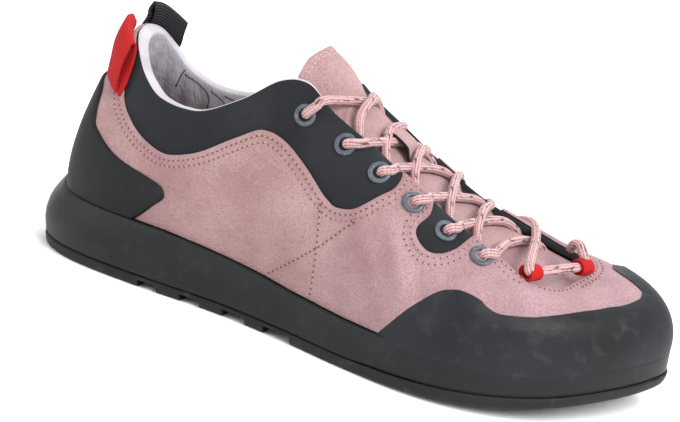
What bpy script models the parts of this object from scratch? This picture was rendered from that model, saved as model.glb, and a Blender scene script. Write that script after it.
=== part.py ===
"""A low approach shoe for the right foot, standing empty on its sole.

+X points to the toe, +Y to the inner side of the foot, +Z up. The origin lies on
the ground, under the middle of the sole. Lengths are in metres, angles in degrees.
"""

import math

import bmesh
import bpy
import numpy as np
from mathutils import Matrix, Vector
from mathutils.geometry import delaunay_2d_cdt

# Driving sizes
LENGTH = 0.270
BALL_WIDTH = 0.097
HEEL_RISE = 0.0715
TOE_SPRING = 0.0115
OUTSOLE = 0.0047
LUG_DEPTH = 0.0023
MIDSOLE = 0.0213
HEEL_KICK = 0.0023
SOLE_LEDGE = 0.0040
WALL = 0.0026
SUEDE = 0.0013
RUBBER = 0.0015
GAP = 0.0003
SUEDE_INNER = 0.0004
SUEDE_OUTER = SUEDE_INNER + SUEDE
RUBBER_INNER = SUEDE_OUTER + GAP
RUBBER_OUTER = RUBBER_INNER + RUBBER
INSOLE = 0.0035
TONGUE = 0.0032
TONGUE_TOP = 0.0048
EYELET_RADIUS = 0.0044
EYELET_BORE = 0.0022
EYELET_WALL = 0.0004
EYELET_HEAD = 0.0009
EYELET_SIDES = 8
LACE = 0.0036
WEBBING = 0.0009
TAG_LACE_LOOP = 0.0009
TAG_REACH = 0.0080
PULL_REACH = 0.0132

# Where the ground curve leaves the floor, as a share of the length
SPRING_START = 0.556

# Mesh density: columns from heel to toe on each side, rows from sole to edge
COLUMNS = 33
ROWS = 6
CROWDING = 0.22

# How far the grid of a panel leans, so that it and the upper share their diagonals
LEAN = 0.05

# Up to this rise the upper's normals turn level, so that panels stand on the sole
LEVEL_SHARE = 0.08

# Outline of the sole: shares of the length from the heel, and of the ball width
# from the middle line, lateral side first and then back along the medial side.
OUTLINE_COLUMNS = ("along", "across")
OUTLINE_LATERAL = (
    (0.000, 0.000),
    (0.012, -0.135),
    (0.046, -0.262),
    (0.112, -0.340),
    (0.225, -0.367),
    (0.370, -0.367),
    (0.480, -0.402),
    (0.590, -0.462),
    (0.685, -0.499),
    (0.755, -0.494),
    (0.825, -0.442),
    (0.890, -0.335),
    (0.945, -0.160),
    (0.983, 0.015),
    (1.000, 0.165),
)
OUTLINE_MEDIAL = (
    (1.000, 0.165),
    (0.990, 0.288),
    (0.955, 0.392),
    (0.900, 0.458),
    (0.825, 0.496),
    (0.755, 0.497),
    (0.685, 0.464),
    (0.610, 0.395),
    (0.520, 0.312),
    (0.408, 0.280),
    (0.296, 0.304),
    (0.185, 0.340),
    (0.092, 0.320),
    (0.037, 0.237),
    (0.008, 0.114),
    (0.000, 0.000),
)

# Height of the midsole over the outsole, and how far its top edge steps in from
# the outline: shares of MIDSOLE and of the ball width, by share of the length.
SOLE_COLUMNS = ("along", "height", "step_in")
SOLE_SECTIONS = (
    (0.00, 1.025, 0.067),
    (0.06, 1.000, 0.045),
    (0.14, 1.000, 0.026),
    (0.26, 0.985, 0.021),
    (0.34, 0.900, 0.021),
    (0.44, 0.780, 0.021),
    (0.49, 0.695, 0.020),
    (0.57, 0.640, 0.016),
    (0.64, 0.605, 0.010),
    (0.74, 0.490, 0.004),
    (0.85, 0.420, 0.003),
    (1.00, 0.395, 0.003),
)

# The upper's edge, round the collar and down the throat. Rounds are shares of the
# way from the heel's middle to the toe's tip along the sole; along and across are
# shares of the length and ball width, high is a share of HEEL_RISE over the sole.
EDGE_COLUMNS = ("round", "along", "across", "high")
EDGE_LATERAL = (
    (0.00, 0.117, 0.000, 1.000),
    (0.04, 0.122, -0.088, 0.972),
    (0.09, 0.139, -0.150, 0.888),
    (0.15, 0.170, -0.206, 0.769),
    (0.22, 0.215, -0.263, 0.695),
    (0.30, 0.285, -0.307, 0.713),
    (0.37, 0.354, -0.314, 0.877),
    (0.43, 0.406, -0.289, 1.053),
    (0.48, 0.444, -0.268, 1.098),
    (0.53, 0.487, -0.258, 0.997),
    (0.58, 0.544, -0.253, 0.901),
    (0.63, 0.611, -0.247, 0.779),
    (0.69, 0.691, -0.242, 0.631),
    (0.75, 0.757, -0.247, 0.502),
    (0.82, 0.811, -0.242, 0.378),
    (0.89, 0.844, -0.149, 0.316),
    (0.95, 0.857, -0.031, 0.317),
)
EDGE_MEDIAL = (
    (0.04, 0.122, 0.088, 0.972),
    (0.09, 0.139, 0.153, 0.881),
    (0.15, 0.167, 0.211, 0.755),
    (0.22, 0.211, 0.263, 0.678),
    (0.30, 0.278, 0.294, 0.703),
    (0.37, 0.344, 0.300, 0.855),
    (0.43, 0.398, 0.268, 0.993),
    (0.48, 0.441, 0.232, 1.040),
    (0.53, 0.485, 0.196, 0.973),
    (0.58, 0.541, 0.175, 0.882),
    (0.63, 0.604, 0.170, 0.756),
    (0.69, 0.678, 0.175, 0.632),
    (0.75, 0.744, 0.191, 0.545),
    (0.82, 0.802, 0.206, 0.460),
    (0.89, 0.839, 0.196, 0.397),
    (0.95, 0.858, 0.149, 0.359),
    (1.00, 0.865, 0.072, 0.337),
)

# How each rib of the upper bulges between sole and edge: rise and drop are shares
# of its height, roof a share of its reach inwards, belly a share of the ball width.
# The medial side falls away from the throat by its own drop.
RIB_COLUMNS = ("round", "rise", "belly", "drop", "roof", "medial_drop")
RIBS = (
    (0.00, 0.35, 0.020, 0.25, 0.48, 0.25),
    (0.09, 0.38, 0.030, 0.25, 0.30, 0.25),
    (0.22, 0.42, 0.042, 0.30, 0.00, 0.30),
    (0.37, 0.45, 0.040, 0.30, 0.00, 0.30),
    (0.48, 0.45, 0.030, 0.25, 0.15, 0.30),
    (0.58, 0.48, 0.022, 0.14, 0.50, 0.30),
    (0.69, 0.50, 0.012, 0.12, 0.55, 0.28),
    (0.80, 0.55, 0.010, 0.08, 0.58, 0.16),
    (0.90, 0.60, 0.012, 0.03, 0.60, 0.06),
    (1.00, 0.62, 0.014, 0.02, 0.60, 0.02),
)

# Corners of the panels that lie on the upper, as rounds and rises: rise is the
# share of the way from the sole line (0) to the upper's edge (1).
SUEDE_TOP = (
    (0.000, 0.955),
    (0.078, 0.955),
    (0.092, 0.860),
    (0.118, 0.770),
    (0.145, 0.700),
    (0.212, 0.610),
    (0.260, 0.572),
    (0.300, 0.630),
    (0.357, 0.720),
    (0.397, 0.742),
    (0.420, 0.710),
    (0.453, 0.630),
    (0.498, 0.480),
    (0.512, 0.448),
    (0.527, 0.440),
    (0.558, 0.500),
    (0.600, 0.700),
    (0.620, 0.850),
    (0.629, 0.965),
    (0.660, 0.965),
    (0.652, 0.780),
    (0.637, 0.610),
    (0.640, 0.560),
    (0.652, 0.545),
    (0.668, 0.585),
    (0.686, 0.700),
    (0.700, 0.830),
    (0.716, 0.965),
    (1.000, 0.965),
)
COUNTER_FRONT = (
    (0.232, 0.000),
    (0.242, 0.050),
    (0.260, 0.150),
    (0.273, 0.220),
    (0.268, 0.300),
    (0.253, 0.330),
    (0.220, 0.360),
    (0.178, 0.390),
    (0.132, 0.440),
    (0.113, 0.460),
    (0.098, 0.520),
    (0.073, 0.620),
)
RAND_LATERAL = (
    (0.575, -1.000),
    (0.598, 0.000),
    (0.620, 0.110),
    (0.640, 0.210),
    (0.667, 0.340),
    (0.680, 0.390),
    (0.698, 0.430),
    (0.720, 0.430),
    (0.730, 0.400),
    (0.748, 0.390),
    (0.788, 0.460),
    (0.822, 0.540),
    (0.867, 0.610),
    (0.913, 0.620),
    (0.947, 0.585),
    (0.983, 0.580),
)
RAND_MEDIAL = (
    (0.998, 0.610),
    (0.982, 0.760),
    (0.967, 0.840),
    (0.940, 0.840),
    (0.900, 0.740),
    (0.850, 0.600),
    (0.790, 0.490),
    (0.720, 0.430),
    (0.660, 0.340),
    (0.620, 0.130),
    (0.598, 0.000),
    (0.575, -1.000),
)

# Eyelets of each side, from the collar down: where they sit on the upper, whether
# the suede lies under them, how much higher their lace runs over the tongue, as a
# share of its thickness, and the rounds where each side's lace crosses the edges.
EYELET_COLUMNS = (
    "round",
    "rise",
    "on_suede",
    "lace_lift",
    "lateral_near",
    "lateral_far",
    "medial_near",
    "medial_far",
)
EYELETS = (
    (0.478, 0.81, 0, 0.34, 0.508, 0.552, 0.524, 0.566),
    (0.545, 0.82, 0, 0.14, 0.578, 0.612, 0.580, 0.600),
    (0.590, 0.79, 0, 0.10, 0.615, 0.665, 0.618, 0.650),
    (0.633, 0.77, 1, 0.10, 0.657, 0.704, 0.661, 0.693),
    (0.676, 0.79, 0, 0.10, 0.701, 0.746, 0.707, 0.736),
    (0.722, 0.78, 1, 0.10, 0.746, 0.784, 0.758, 0.784),
)

# Rounds of the tongue's rows along the throat, and of the rows of its free top
TONGUE_PLACES = (0.90, 0.86, 0.81, 0.76, 0.71, 0.66, 0.61, 0.56)
FLAP_PLACES = (0.535, 0.510, 0.485, 0.465, 0.450, 0.440)

# The keeper's path over the second crossing: rounds, and lifts off the tongue as
# shares of its height
KEEPER = 0.0012
KEEPER_WIDTH = 0.0075
KEEPER_HEIGHT = 0.0068
KEEPER_PATH = (
    (0.571, 0.25),
    (0.576, 0.60),
    (0.581, 0.90),
    (0.587, 1.00),
    (0.599, 1.00),
    (0.606, 0.84),
    (0.610, 0.42),
    (0.614, 0.06),
)

# The lace bar at the throat's front: the turn of the edge under each of its ends,
# and how far in from it and over it they lie, as shares of the lace's thickness
BAR_COLUMNS = ("turn", "inward", "lift")
BAR_ENDS = (
    (0.411, 1.00, 1.25),
    (0.494, 0.75, 1.08),
)
LOOP_WIDTH = 0.0062

# Tread: grooves right across the arch, and chevron grooves with their half widths
ARCH_GROOVES = ((0.237, 0.270), (0.311, 0.345), (0.385, 0.426), (0.459, 0.507))
CHEVRON_WIDTH = 0.0028
CHEVRONS = (
    (0.060, 0.22),
    (0.110, 0.27),
    (0.160, 0.29),
    (0.200, 0.29),
    (0.545, 0.33),
    (0.590, 0.36),
    (0.635, 0.38),
    (0.680, 0.40),
    (0.725, 0.40),
    (0.770, 0.38),
)

# Folded bands outside the collar, from the outer foot over the fold to the inner
# foot: turns at the back and front edge, rise, and offsets and lifts of both edges
# as shares of the band's reach off its seat.
BAND_COLUMNS = ("back", "front", "rise", "back_out", "front_out", "back_up", "front_up")
HEEL_TAG = (
    (0.032, 0.0620, 0.72, 0.32, 0.32, 0.00, 0.00),
    (0.027, 0.0600, 0.80, 0.40, 0.44, 0.00, 0.00),
    (0.020, 0.0570, 0.90, 0.50, 0.56, 0.00, 0.00),
    (0.013, 0.0520, 1.00, 0.62, 0.54, 0.00, 0.08),
    (0.010, 0.0490, 1.00, 0.64, 0.40, 0.08, 0.28),
    (0.009, 0.0480, 1.00, 0.52, 0.18, 0.18, 0.40),
    (0.010, 0.0485, 1.00, 0.34, 0.02, 0.14, 0.32),
    (0.012, 0.0500, 1.00, 0.14, 0.00, 0.00, 0.10),
    (0.017, 0.0530, 0.94, 0.00, 0.00, 0.00, 0.00),
    (0.026, 0.0590, 0.82, 0.00, 0.00, 0.00, 0.00),
    (0.032, 0.0620, 0.72, 0.00, 0.00, 0.00, 0.00),
)
PULL_LOOP = (
    (-0.006, -0.0460, 0.88, 0.20, 0.20, 0.00, 0.00),
    (-0.006, -0.0480, 1.00, 0.21, 0.21, 0.00, 0.00),
    (-0.007, -0.0510, 1.00, 0.20, 0.18, 0.28, 0.42),
    (-0.008, -0.0545, 1.00, 0.08, 0.08, 0.56, 0.80),
    (-0.008, -0.0555, 1.00, -0.03, -0.03, 0.69, 0.97),
    (-0.008, -0.0555, 1.00, -0.14, -0.13, 0.62, 0.90),
    (-0.009, -0.0530, 1.00, -0.12, -0.11, 0.36, 0.55),
    (-0.009, -0.0510, 1.00, -0.05, -0.05, 0.10, 0.15),
    (-0.009, -0.0490, 0.96, 0.00, 0.00, 0.00, 0.00),
    (-0.009, -0.0470, 0.88, 0.00, 0.00, 0.00, 0.00),
)

# The tongue's free top: along and high are the crest's place as shares of LENGTH
# and HEEL_RISE, half_width a share of BALL_WIDTH, back and fall how far its sides
# lie behind and below the crest, in the same shares.
TONGUE_SHIFT = -0.0020
TONGUE_FLAP = (
    (0.494, 1.035, 0.172, 0.028, 0.105),
    (0.477, 1.105, 0.176, 0.050, 0.125),
    (0.460, 1.160, 0.172, 0.050, 0.125),
    (0.4465, 1.200, 0.145, 0.034, 0.092),
    (0.436, 1.222, 0.100, 0.024, 0.050),
    (0.428, 1.232, 0.055, 0.008, 0.020),
)


def column(rows, columns, name):
    """One named column of a table."""
    return np.array([row[columns.index(name)] for row in rows], float)


def loop_value(knots, values, at):
    """A smooth closed curve through values at knots from 0 to 1, read at the shares at."""
    knots = np.asarray(knots, float)
    values = np.asarray(values, float)
    long_knots = np.concatenate([knots[-2:] - 1, knots, knots[:2] + 1])
    long_values = np.concatenate([values[-2:], values, values[:2]])
    slopes = (long_values[2:] - long_values[:-2]) / (long_knots[2:] - long_knots[:-2])[:, None]
    inner = long_knots[1:-1]
    at = np.asarray(at, float) % 1.0
    left = np.clip(np.searchsorted(inner, at, side="right") - 1, 0, len(inner) - 2)
    span = (inner[left + 1] - inner[left])[:, None]
    t = (at - inner[left])[:, None] / span
    start, end = long_values[1:-1][left], long_values[1:-1][left + 1]
    return (
        (2 * t**3 - 3 * t**2 + 1) * start
        + (t**3 - 2 * t**2 + t) * span * slopes[left]
        + (3 * t**2 - 2 * t**3) * end
        + (t**3 - t**2) * span * slopes[left + 1]
    )


def half_rounds(points):
    """Shares from 0 to 1 of the way along a row of points."""
    steps = np.linalg.norm(np.diff(points, axis=0), axis=1)
    return np.concatenate([[0.0], np.cumsum(steps)]) / steps.sum()


LATERAL_POINTS = np.array(OUTLINE_LATERAL) * (LENGTH, BALL_WIDTH)
MEDIAL_POINTS = np.array(OUTLINE_MEDIAL) * (LENGTH, BALL_WIDTH)
OUTLINE_KNOTS = np.concatenate(
    [half_rounds(LATERAL_POINTS)[:-1] / 2, 0.5 + half_rounds(MEDIAL_POINTS)[:-1] / 2]
)
OUTLINE_POINTS = np.concatenate([LATERAL_POINTS[:-1], MEDIAL_POINTS[:-1]])


def outline(turn):
    """The sole's outline and its outward normal at shares of a turn, heel to heel."""
    turn = np.atleast_1d(turn)
    step = 0.001
    points = loop_value(OUTLINE_KNOTS, OUTLINE_POINTS, turn)
    ahead = loop_value(OUTLINE_KNOTS, OUTLINE_POINTS, turn + step)
    behind = loop_value(OUTLINE_KNOTS, OUTLINE_POINTS, turn - step)
    along = ahead - behind
    normals = np.stack([along[:, 1], -along[:, 0]], axis=1)
    return points, normals / np.linalg.norm(normals, axis=1)[:, None]


def ground(along):
    """Height of the sole's underside over the floor, by distance from the heel."""
    share = np.clip((along / LENGTH - SPRING_START) / (1 - SPRING_START), 0, None)
    return TOE_SPRING * share**2


def groove(along):
    """Height of the line between outsole and midsole."""
    kick = np.clip(1 - along / (0.06 * LENGTH), 0, 1) ** 2
    return ground(along) + OUTSOLE + HEEL_KICK * kick


def sole_section(along, name):
    """A value of the sole's table, by distance from the heel."""
    places = column(SOLE_SECTIONS, SOLE_COLUMNS, "along") * LENGTH
    return np.interp(along, places, column(SOLE_SECTIONS, SOLE_COLUMNS, name))


def midsole_top(along):
    """Height of the midsole's upper edge."""
    return ground(along) + OUTSOLE + GAP + MIDSOLE * sole_section(along, "height")


def step_in(along):
    """How far the midsole's upper edge lies inside the outline."""
    return BALL_WIDTH * sole_section(along, "step_in")


def feather(turn):
    """The line where the upper meets the sole, and its outward normal."""
    points, normals = outline(turn)
    inset = step_in(points[:, 0]) + SOLE_LEDGE
    flat = points - normals * inset[:, None]
    height = midsole_top(flat[:, 0]) + GAP
    return np.column_stack([flat, height]), np.column_stack([normals, 0 * height])


def side_turns(rounds, side):
    """Shares of a turn for shares of the way from heel to toe on one side."""
    rounds = np.asarray(rounds, float)
    return rounds / 2 if side == "lateral" else 1 - rounds / 2


EDGE_KNOTS = np.concatenate(
    [
        side_turns(column(EDGE_LATERAL, EDGE_COLUMNS, "round"), "lateral"),
        side_turns(column(EDGE_MEDIAL, EDGE_COLUMNS, "round"), "medial")[::-1],
    ]
)
EDGE_VALUES = np.concatenate(
    [
        np.array([row[1:] for row in EDGE_LATERAL]),
        np.array([row[1:] for row in EDGE_MEDIAL])[::-1],
    ]
) * (LENGTH, BALL_WIDTH, HEEL_RISE)
RIB_KNOTS = np.concatenate(
    [
        column(RIBS, RIB_COLUMNS, "round") / 2,
        (1 - column(RIBS, RIB_COLUMNS, "round") / 2)[1:-1][::-1],
    ]
)
RIB_LATERAL = np.array([row[1:5] for row in RIBS])
RIB_MEDIAL = RIB_LATERAL.copy()
RIB_MEDIAL[:, 2] = column(RIBS, RIB_COLUMNS, "medial_drop")
RIB_VALUES = np.concatenate([RIB_LATERAL, RIB_MEDIAL[1:-1][::-1]])


def skin(turn, rise):
    """The upper's outer surface: a share of a turn, and a share from sole to edge.

    Below the sole line (a rise under 0) it goes straight down the sole's side.
    """
    turn = np.atleast_1d(np.asarray(turn, float))
    rise = np.atleast_1d(np.asarray(rise, float))
    foot, out = feather(turn)
    edge = loop_value(EDGE_KNOTS, EDGE_VALUES, turn)
    edge[:, 2] += foot[:, 2]
    ribs = loop_value(RIB_KNOTS, RIB_VALUES, turn)
    rib_rise, belly, drop, roof = ribs.T
    height = edge[:, 2] - foot[:, 2]
    inward = (foot - edge) * (1, 1, 0)
    up = np.array([0.0, 0.0, 1.0])
    low = foot + up * (rib_rise * height)[:, None] + out * (belly * BALL_WIDTH)[:, None]
    high = edge + inward * roof[:, None] - up * (drop * height)[:, None]
    high = high + out * (belly * BALL_WIDTH / 2)[:, None]
    t = np.clip(rise, 0, None)[:, None]
    above = (1 - t) ** 3 * foot + 3 * t * (1 - t) ** 2 * low + 3 * t**2 * (1 - t) * high + t**3 * edge
    points, _ = outline(turn)
    depth = foot[:, 2] - groove(points[:, 0]) - GAP
    return above + up * (np.clip(rise, None, 0) * depth)[:, None]


def skin_normal(turn, rise):
    """Outward normal of the upper's surface."""
    turn = np.atleast_1d(np.asarray(turn, float))
    rise = np.atleast_1d(np.asarray(rise, float))
    step = 0.002
    across = skin(turn + step, rise) - skin(turn - step, rise)
    upward = skin(turn, rise + step) - skin(turn, rise - step)
    normals = np.cross(across, upward)
    normals[:, 2] *= np.clip(rise / LEVEL_SHARE, 0, 1)
    return normals / np.linalg.norm(normals, axis=1)[:, None]


def shell(turn, rise, offset):
    """The upper's surface moved out by an offset, or in by a negative one."""
    return skin(turn, rise) + skin_normal(turn, rise) * offset


def column_turns():
    """Shares of a turn of the mesh's columns, closer together at heel and toe."""
    steps = np.arange(COLUMNS) / COLUMNS
    rounds = steps - CROWDING * np.sin(2 * math.pi * steps) / (2 * math.pi)
    return np.concatenate([rounds / 2, 0.5 + rounds / 2])


TURNS = column_turns()


def placed(points):
    """Points from the heel's frame into the part's, with the origin under the middle."""
    return np.asarray(points) - (LENGTH / 2, 0, 0)


def principled(name, colour, roughness, metallic=0.0):
    """A plain material in the sub-part's colour."""
    material = bpy.data.materials.new(name)
    material.use_nodes = True
    shader = material.node_tree.nodes["Principled BSDF"]
    shader.inputs["Base Color"].default_value = (*colour, 1.0)
    shader.inputs["Roughness"].default_value = roughness
    shader.inputs["Metallic"].default_value = metallic
    return material


def add_object(name, mesh, material, collection):
    """A finished bmesh as an object with its material, shaded smooth."""
    data = bpy.data.meshes.new(name)
    bmesh.ops.recalc_face_normals(mesh, faces=mesh.faces)
    mesh.to_mesh(data)
    mesh.free()
    data.shade_smooth()
    data.set_sharp_from_angle(angle=math.radians(40))
    item = bpy.data.objects.new(name, data)
    if material:
        data.materials.append(material)
    collection.objects.link(item)
    return item


def ring_loft(rings, closed=False):
    """A bmesh lofted through rings of points. Rings run heel to heel, and unless the
    loft is closed on itself its ends are capped by strips from side to side."""
    mesh = bmesh.new()
    loops = [[mesh.verts.new(point) for point in placed(ring)] for ring in rings]
    count = len(loops[0])
    pairs = list(zip(loops, loops[1:]))
    if closed:
        pairs.append((loops[-1], loops[0]))
    for low, high in pairs:
        for i in range(count):
            j = (i + 1) % count
            mesh.faces.new((low[i], low[j], high[i]))
            mesh.faces.new((low[j], high[j], high[i]))
    if not closed:
        for loop in (loops[0], loops[-1]):
            for i in range(count // 2):
                corners = {loop[i], loop[i + 1], loop[-i - 1], loop[-i]}
                if len(corners) > 2:
                    mesh.faces.new(dict.fromkeys((loop[i], loop[i + 1], loop[-i - 1], loop[-i])))
    return mesh


def sheet_loft(rows, thickness_rows):
    """A bmesh of a curved sheet: a grid of points over a second grid below it."""
    mesh = bmesh.new()
    top = [[mesh.verts.new(point) for point in placed(row)] for row in rows]
    low = [[mesh.verts.new(point) for point in placed(row)] for row in thickness_rows]
    for grid in (top, low):
        for first, second in zip(grid, grid[1:]):
            for i in range(len(first) - 1):
                mesh.faces.new((first[i], first[i + 1], second[i + 1], second[i]))
    rim = top[0] + [row[-1] for row in top[1:]] + top[-1][-2::-1] + [row[0] for row in top[-2:0:-1]]
    under = low[0] + [row[-1] for row in low[1:]] + low[-1][-2::-1] + [row[0] for row in low[-2:0:-1]]
    for i in range(len(rim)):
        j = (i + 1) % len(rim)
        mesh.faces.new((rim[i], rim[j], under[j], under[i]))
    return mesh


def grid_place(turn):
    """A share of a turn as a place among the mesh's columns."""
    whole = math.floor(turn)
    within = np.interp(turn - whole, np.append(TURNS, 1.0), np.arange(len(TURNS) + 1))
    return whole * len(TURNS) + float(within)


def grid_turn(place):
    """A place among the mesh's columns as a share of a turn."""
    whole = math.floor(place / len(TURNS))
    within = place - whole * len(TURNS)
    return whole + float(np.interp(within, np.arange(len(TURNS) + 1), np.append(TURNS, 1.0)))


def dense_outline(points):
    """A closed outline in columns and rises, with a point wherever it crosses a column."""
    dense = []
    for (x0, y0), (x1, y1) in zip(points, points[1:] + points[:1]):
        cuts = {0.0}
        if abs(x1 - x0) > 1e-9:
            for k in range(math.ceil(min(x0, x1)), math.floor(max(x0, x1)) + 1):
                cuts.add((k - x0) / (x1 - x0))
        pieces = max(1, round(abs(y1 - y0) * ROWS))
        stretch = max(abs(x1 - x0), abs(y1 - y0) * ROWS)
        if abs(x1 - x0) < 1.0:
            cuts.update(i / pieces for i in range(pieces))
        last = None
        for cut in sorted(c for c in cuts if (1 - c) * stretch > 0.2):
            if last is None or (cut - last) * stretch > 0.2:
                dense.append((x0 + (x1 - x0) * cut, y0 + (y1 - y0) * cut))
                last = cut
    return dense


def panel(points, inner, outer, whole_turn=False):
    """A bmesh of a panel that lies on the upper: its outline is a list of turns and
    rises, and it fills the space between two offsets of the upper's surface. A panel
    of a whole turn is joined to itself where its ends meet."""
    edge = dense_outline([(grid_place(turn), rise) for turn, rise in points])
    scaled = [Vector((x + LEAN * y * ROWS, y * ROWS)) for x, y in edge]
    count = len(scaled)
    flat = list(scaled)
    low_x, high_x = min(p.x for p in scaled), max(p.x for p in scaled)
    low_y, high_y = min(p.y for p in scaled), max(p.y for p in scaled)
    for x in range(math.floor(low_x), math.ceil(high_x) + 1):
        for y in range(math.floor(low_y), math.ceil(high_y) + 1):
            spot = Vector((x + LEAN * y, y))
            if clear_inside(spot, scaled):
                flat.append(spot)
    ring = [(i, (i + 1) % count) for i in range(count)]
    spots, _, faces, *_ = delaunay_2d_cdt(flat, ring, [list(range(count))], 1, 1e-6)
    mesh = bmesh.new()
    places = [round(spot.x - LEAN * spot.y, 4) for spot in spots]
    turns = np.array([grid_turn(place) for place in places])
    rises = np.array([spot.y / ROWS for spot in spots])
    low = [mesh.verts.new(point) for point in placed(shell(turns, rises, inner))]
    high = [mesh.verts.new(point) for point in placed(shell(turns, rises, outer))]
    edges = {}
    for face in faces:
        mesh.faces.new([high[i] for i in face])
        mesh.faces.new([low[i] for i in reversed(face)])
        for a, b in zip(face, face[1:] + face[:1]):
            edges[(a, b)] = edges.get((a, b), 0) + 1
    for a, b in edges:
        at_join = whole_turn and places[a] == places[b] and places[a] % len(TURNS) == 0
        if (b, a) not in edges and not at_join:
            mesh.faces.new((high[b], high[a], low[a], low[b]))
    bmesh.ops.remove_doubles(mesh, verts=mesh.verts, dist=1e-6)
    return mesh


def clear_inside(spot, ring):
    """Whether a spot lies inside a ring of points, clear of its edges."""
    inside = False
    for a, b in zip(ring, ring[1:] + ring[:1]):
        span = b - a
        t = min(1.0, max(0.0, (spot - a).dot(span) / max(span.length_squared, 1e-12)))
        if (spot - a - span * t).length < 0.3:
            return False
        if (a.y > spot.y) != (b.y > spot.y):
            if spot.x < a.x + (spot.y - a.y) * (b.x - a.x) / (b.y - a.y):
                inside = not inside
    return inside


def start_scene():
    """An empty scene with a collection for the shoe and one for its cutters."""
    for item in list(bpy.data.objects):
        bpy.data.objects.remove(item, do_unlink=True)
    shoe = bpy.data.collections.new("approach_shoe")
    tools = bpy.data.collections.new("cutters")
    for collection in (shoe, tools):
        bpy.context.scene.collection.children.link(collection)
    return shoe, tools


def as_cutter(item):
    """An object that only shapes others: hidden from renders, drawn as wires."""
    item.hide_render = True
    item.display_type = "WIRE"
    return item


def combine(item, other, operation):
    """A live Boolean between two objects."""
    boolean = item.modifiers.new(other.name, "BOOLEAN")
    boolean.operation = operation
    boolean.solver = "EXACT"
    boolean.object = other


def both_sides(points):
    """A closed panel outline round the whole shoe under a top line of rounds and rises."""
    medial = [(1 - place / 2, rise) for place, rise in points]
    lateral = [(place / 2, rise) for place, rise in points]
    return [(0.0, 0.0), (1.0, 0.0)] + medial + lateral[-2::-1]


def build_upper(shoe, material):
    """The hollow body of the upper, open at the collar, the throat and underneath."""
    rises = np.linspace(0, 1, ROWS + 1)
    rings = [shell(TURNS, np.full(len(TURNS), rise), 0.0) for rise in rises]
    rings += [shell(TURNS, np.full(len(TURNS), rise), -WALL) for rise in rises[::-1]]
    return add_object("upper", ring_loft(rings, closed=True), material, shoe)


def build_suede(shoe, material):
    """The suede that covers the upper below the collar panel and down the throat."""
    mesh = panel(both_sides(SUEDE_TOP), SUEDE_INNER, SUEDE_OUTER, whole_turn=True)
    return add_object("suede", mesh, material, shoe)


def build_counter(shoe, material):
    """The rubber heel counter, over the suede."""
    lateral = [(place / 2, rise) for place, rise in COUNTER_FRONT]
    medial = [(-place / 2, rise) for place, rise in COUNTER_FRONT[::-1]]
    mesh = panel(lateral + medial, RUBBER_INNER, RUBBER_OUTER)
    return add_object("heel_counter", mesh, material, shoe)


def build_rand(shoe, material):
    """The rubber rand round the toe, over the suede and down the midsole's side."""
    lateral = [(place / 2, rise) for place, rise in RAND_LATERAL]
    medial = [(1 - place / 2, rise) for place, rise in RAND_MEDIAL]
    mesh = panel(lateral + medial, RUBBER_INNER, RUBBER_OUTER)
    return add_object("toe_rand", mesh, material, shoe)


def rand_seat(tools):
    """The cutter that sets the midsole's side back where the rand lies on it, the gap
    wider than the rand at each end."""
    (start, _), (end, _) = RAND_LATERAL[:2]
    slope, margin = end - start, 2 * GAP / LENGTH
    lateral = [((start + slope * (1 + rise) - margin) / 2, rise) for rise in (-1.3, 0.25)]
    medial = [(1 - place, rise) for place, rise in lateral[::-1]]
    mesh = panel(lateral + medial, SUEDE_OUTER, SUEDE_OUTER + 3 * RUBBER)
    return as_cutter(add_object("rand_seat", mesh, None, tools))


def inner_ring(turn, inset, height):
    """A ring on the sole's top, inside its edge by an inset, at a height function of
    the distance from the heel."""
    points, normals = outline(turn)
    flat = points - normals * (step_in(points[:, 0]) + inset)[:, None]
    return np.column_stack([flat, height(flat[:, 0])])


def build_midsole(shoe, tools, material):
    """The foam body of the sole, whose side leans in towards its top edge."""
    rings = []
    for level in (0.0, 0.25, 0.5, 0.75, 0.95):
        points, normals = outline(TURNS)
        inset = step_in(points[:, 0]) * level**1.7
        flat = points - normals * inset[:, None]
        low = groove(points[:, 0]) + GAP
        high = midsole_top(flat[:, 0])
        rings.append(np.column_stack([flat, low + (high - low) * level]))
    for inset in (0.0008, SOLE_LEDGE, SOLE_LEDGE + WALL + 2 * GAP):
        rings.append(inner_ring(TURNS, inset, midsole_top))
    midsole = add_object("midsole", ring_loft(rings), material, shoe)
    combine(midsole, rand_seat(tools), "DIFFERENCE")
    return midsole


def build_insole(shoe, material):
    """The removable insole that lies on the midsole inside the upper."""
    inset = SOLE_LEDGE + WALL + 2 * GAP
    rings = [
        inner_ring(TURNS, inset, lambda x: midsole_top(x) + GAP),
        inner_ring(TURNS, inset, lambda x: midsole_top(x) + GAP + INSOLE * 0.7),
        inner_ring(TURNS, inset + INSOLE * 0.3, lambda x: midsole_top(x) + GAP + INSOLE),
    ]
    return add_object("insole", ring_loft(rings), material, shoe)


def build_outsole(shoe, tools, material):
    """The rubber outsole, flat at heel and ball and sprung up at the toe."""
    rings = []
    for level, inset in ((0.0, 0.0016), (0.35, 0.0004), (1.0, 0.0)):
        points, normals = outline(TURNS)
        flat = points - normals * inset
        low = ground(points[:, 0])
        high = groove(points[:, 0])
        rings.append(np.column_stack([flat, low + (high - low) * level]))
    outsole = add_object("outsole", ring_loft(rings), material, shoe)
    combine(outsole, tread_cutter(tools), "DIFFERENCE")
    return outsole


def groove_block(mesh, start, end, low_side, high_side, slant):
    """One straight groove of the tread, from start to end along the shoe."""
    middle = (start + end) / 2
    width = abs(high_side - low_side)
    height = LUG_DEPTH + 0.004
    top = float(ground(np.array([middle]))[0]) + LUG_DEPTH
    size = Matrix.Diagonal((end - start, width, height, 1))
    turn = Matrix.Rotation(slant, 4, "Z")
    place = placed([[middle, (low_side + high_side) / 2, top - height / 2]])[0]
    bmesh.ops.create_cube(mesh, size=1, matrix=Matrix.Translation(place) @ turn @ size)


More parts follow.
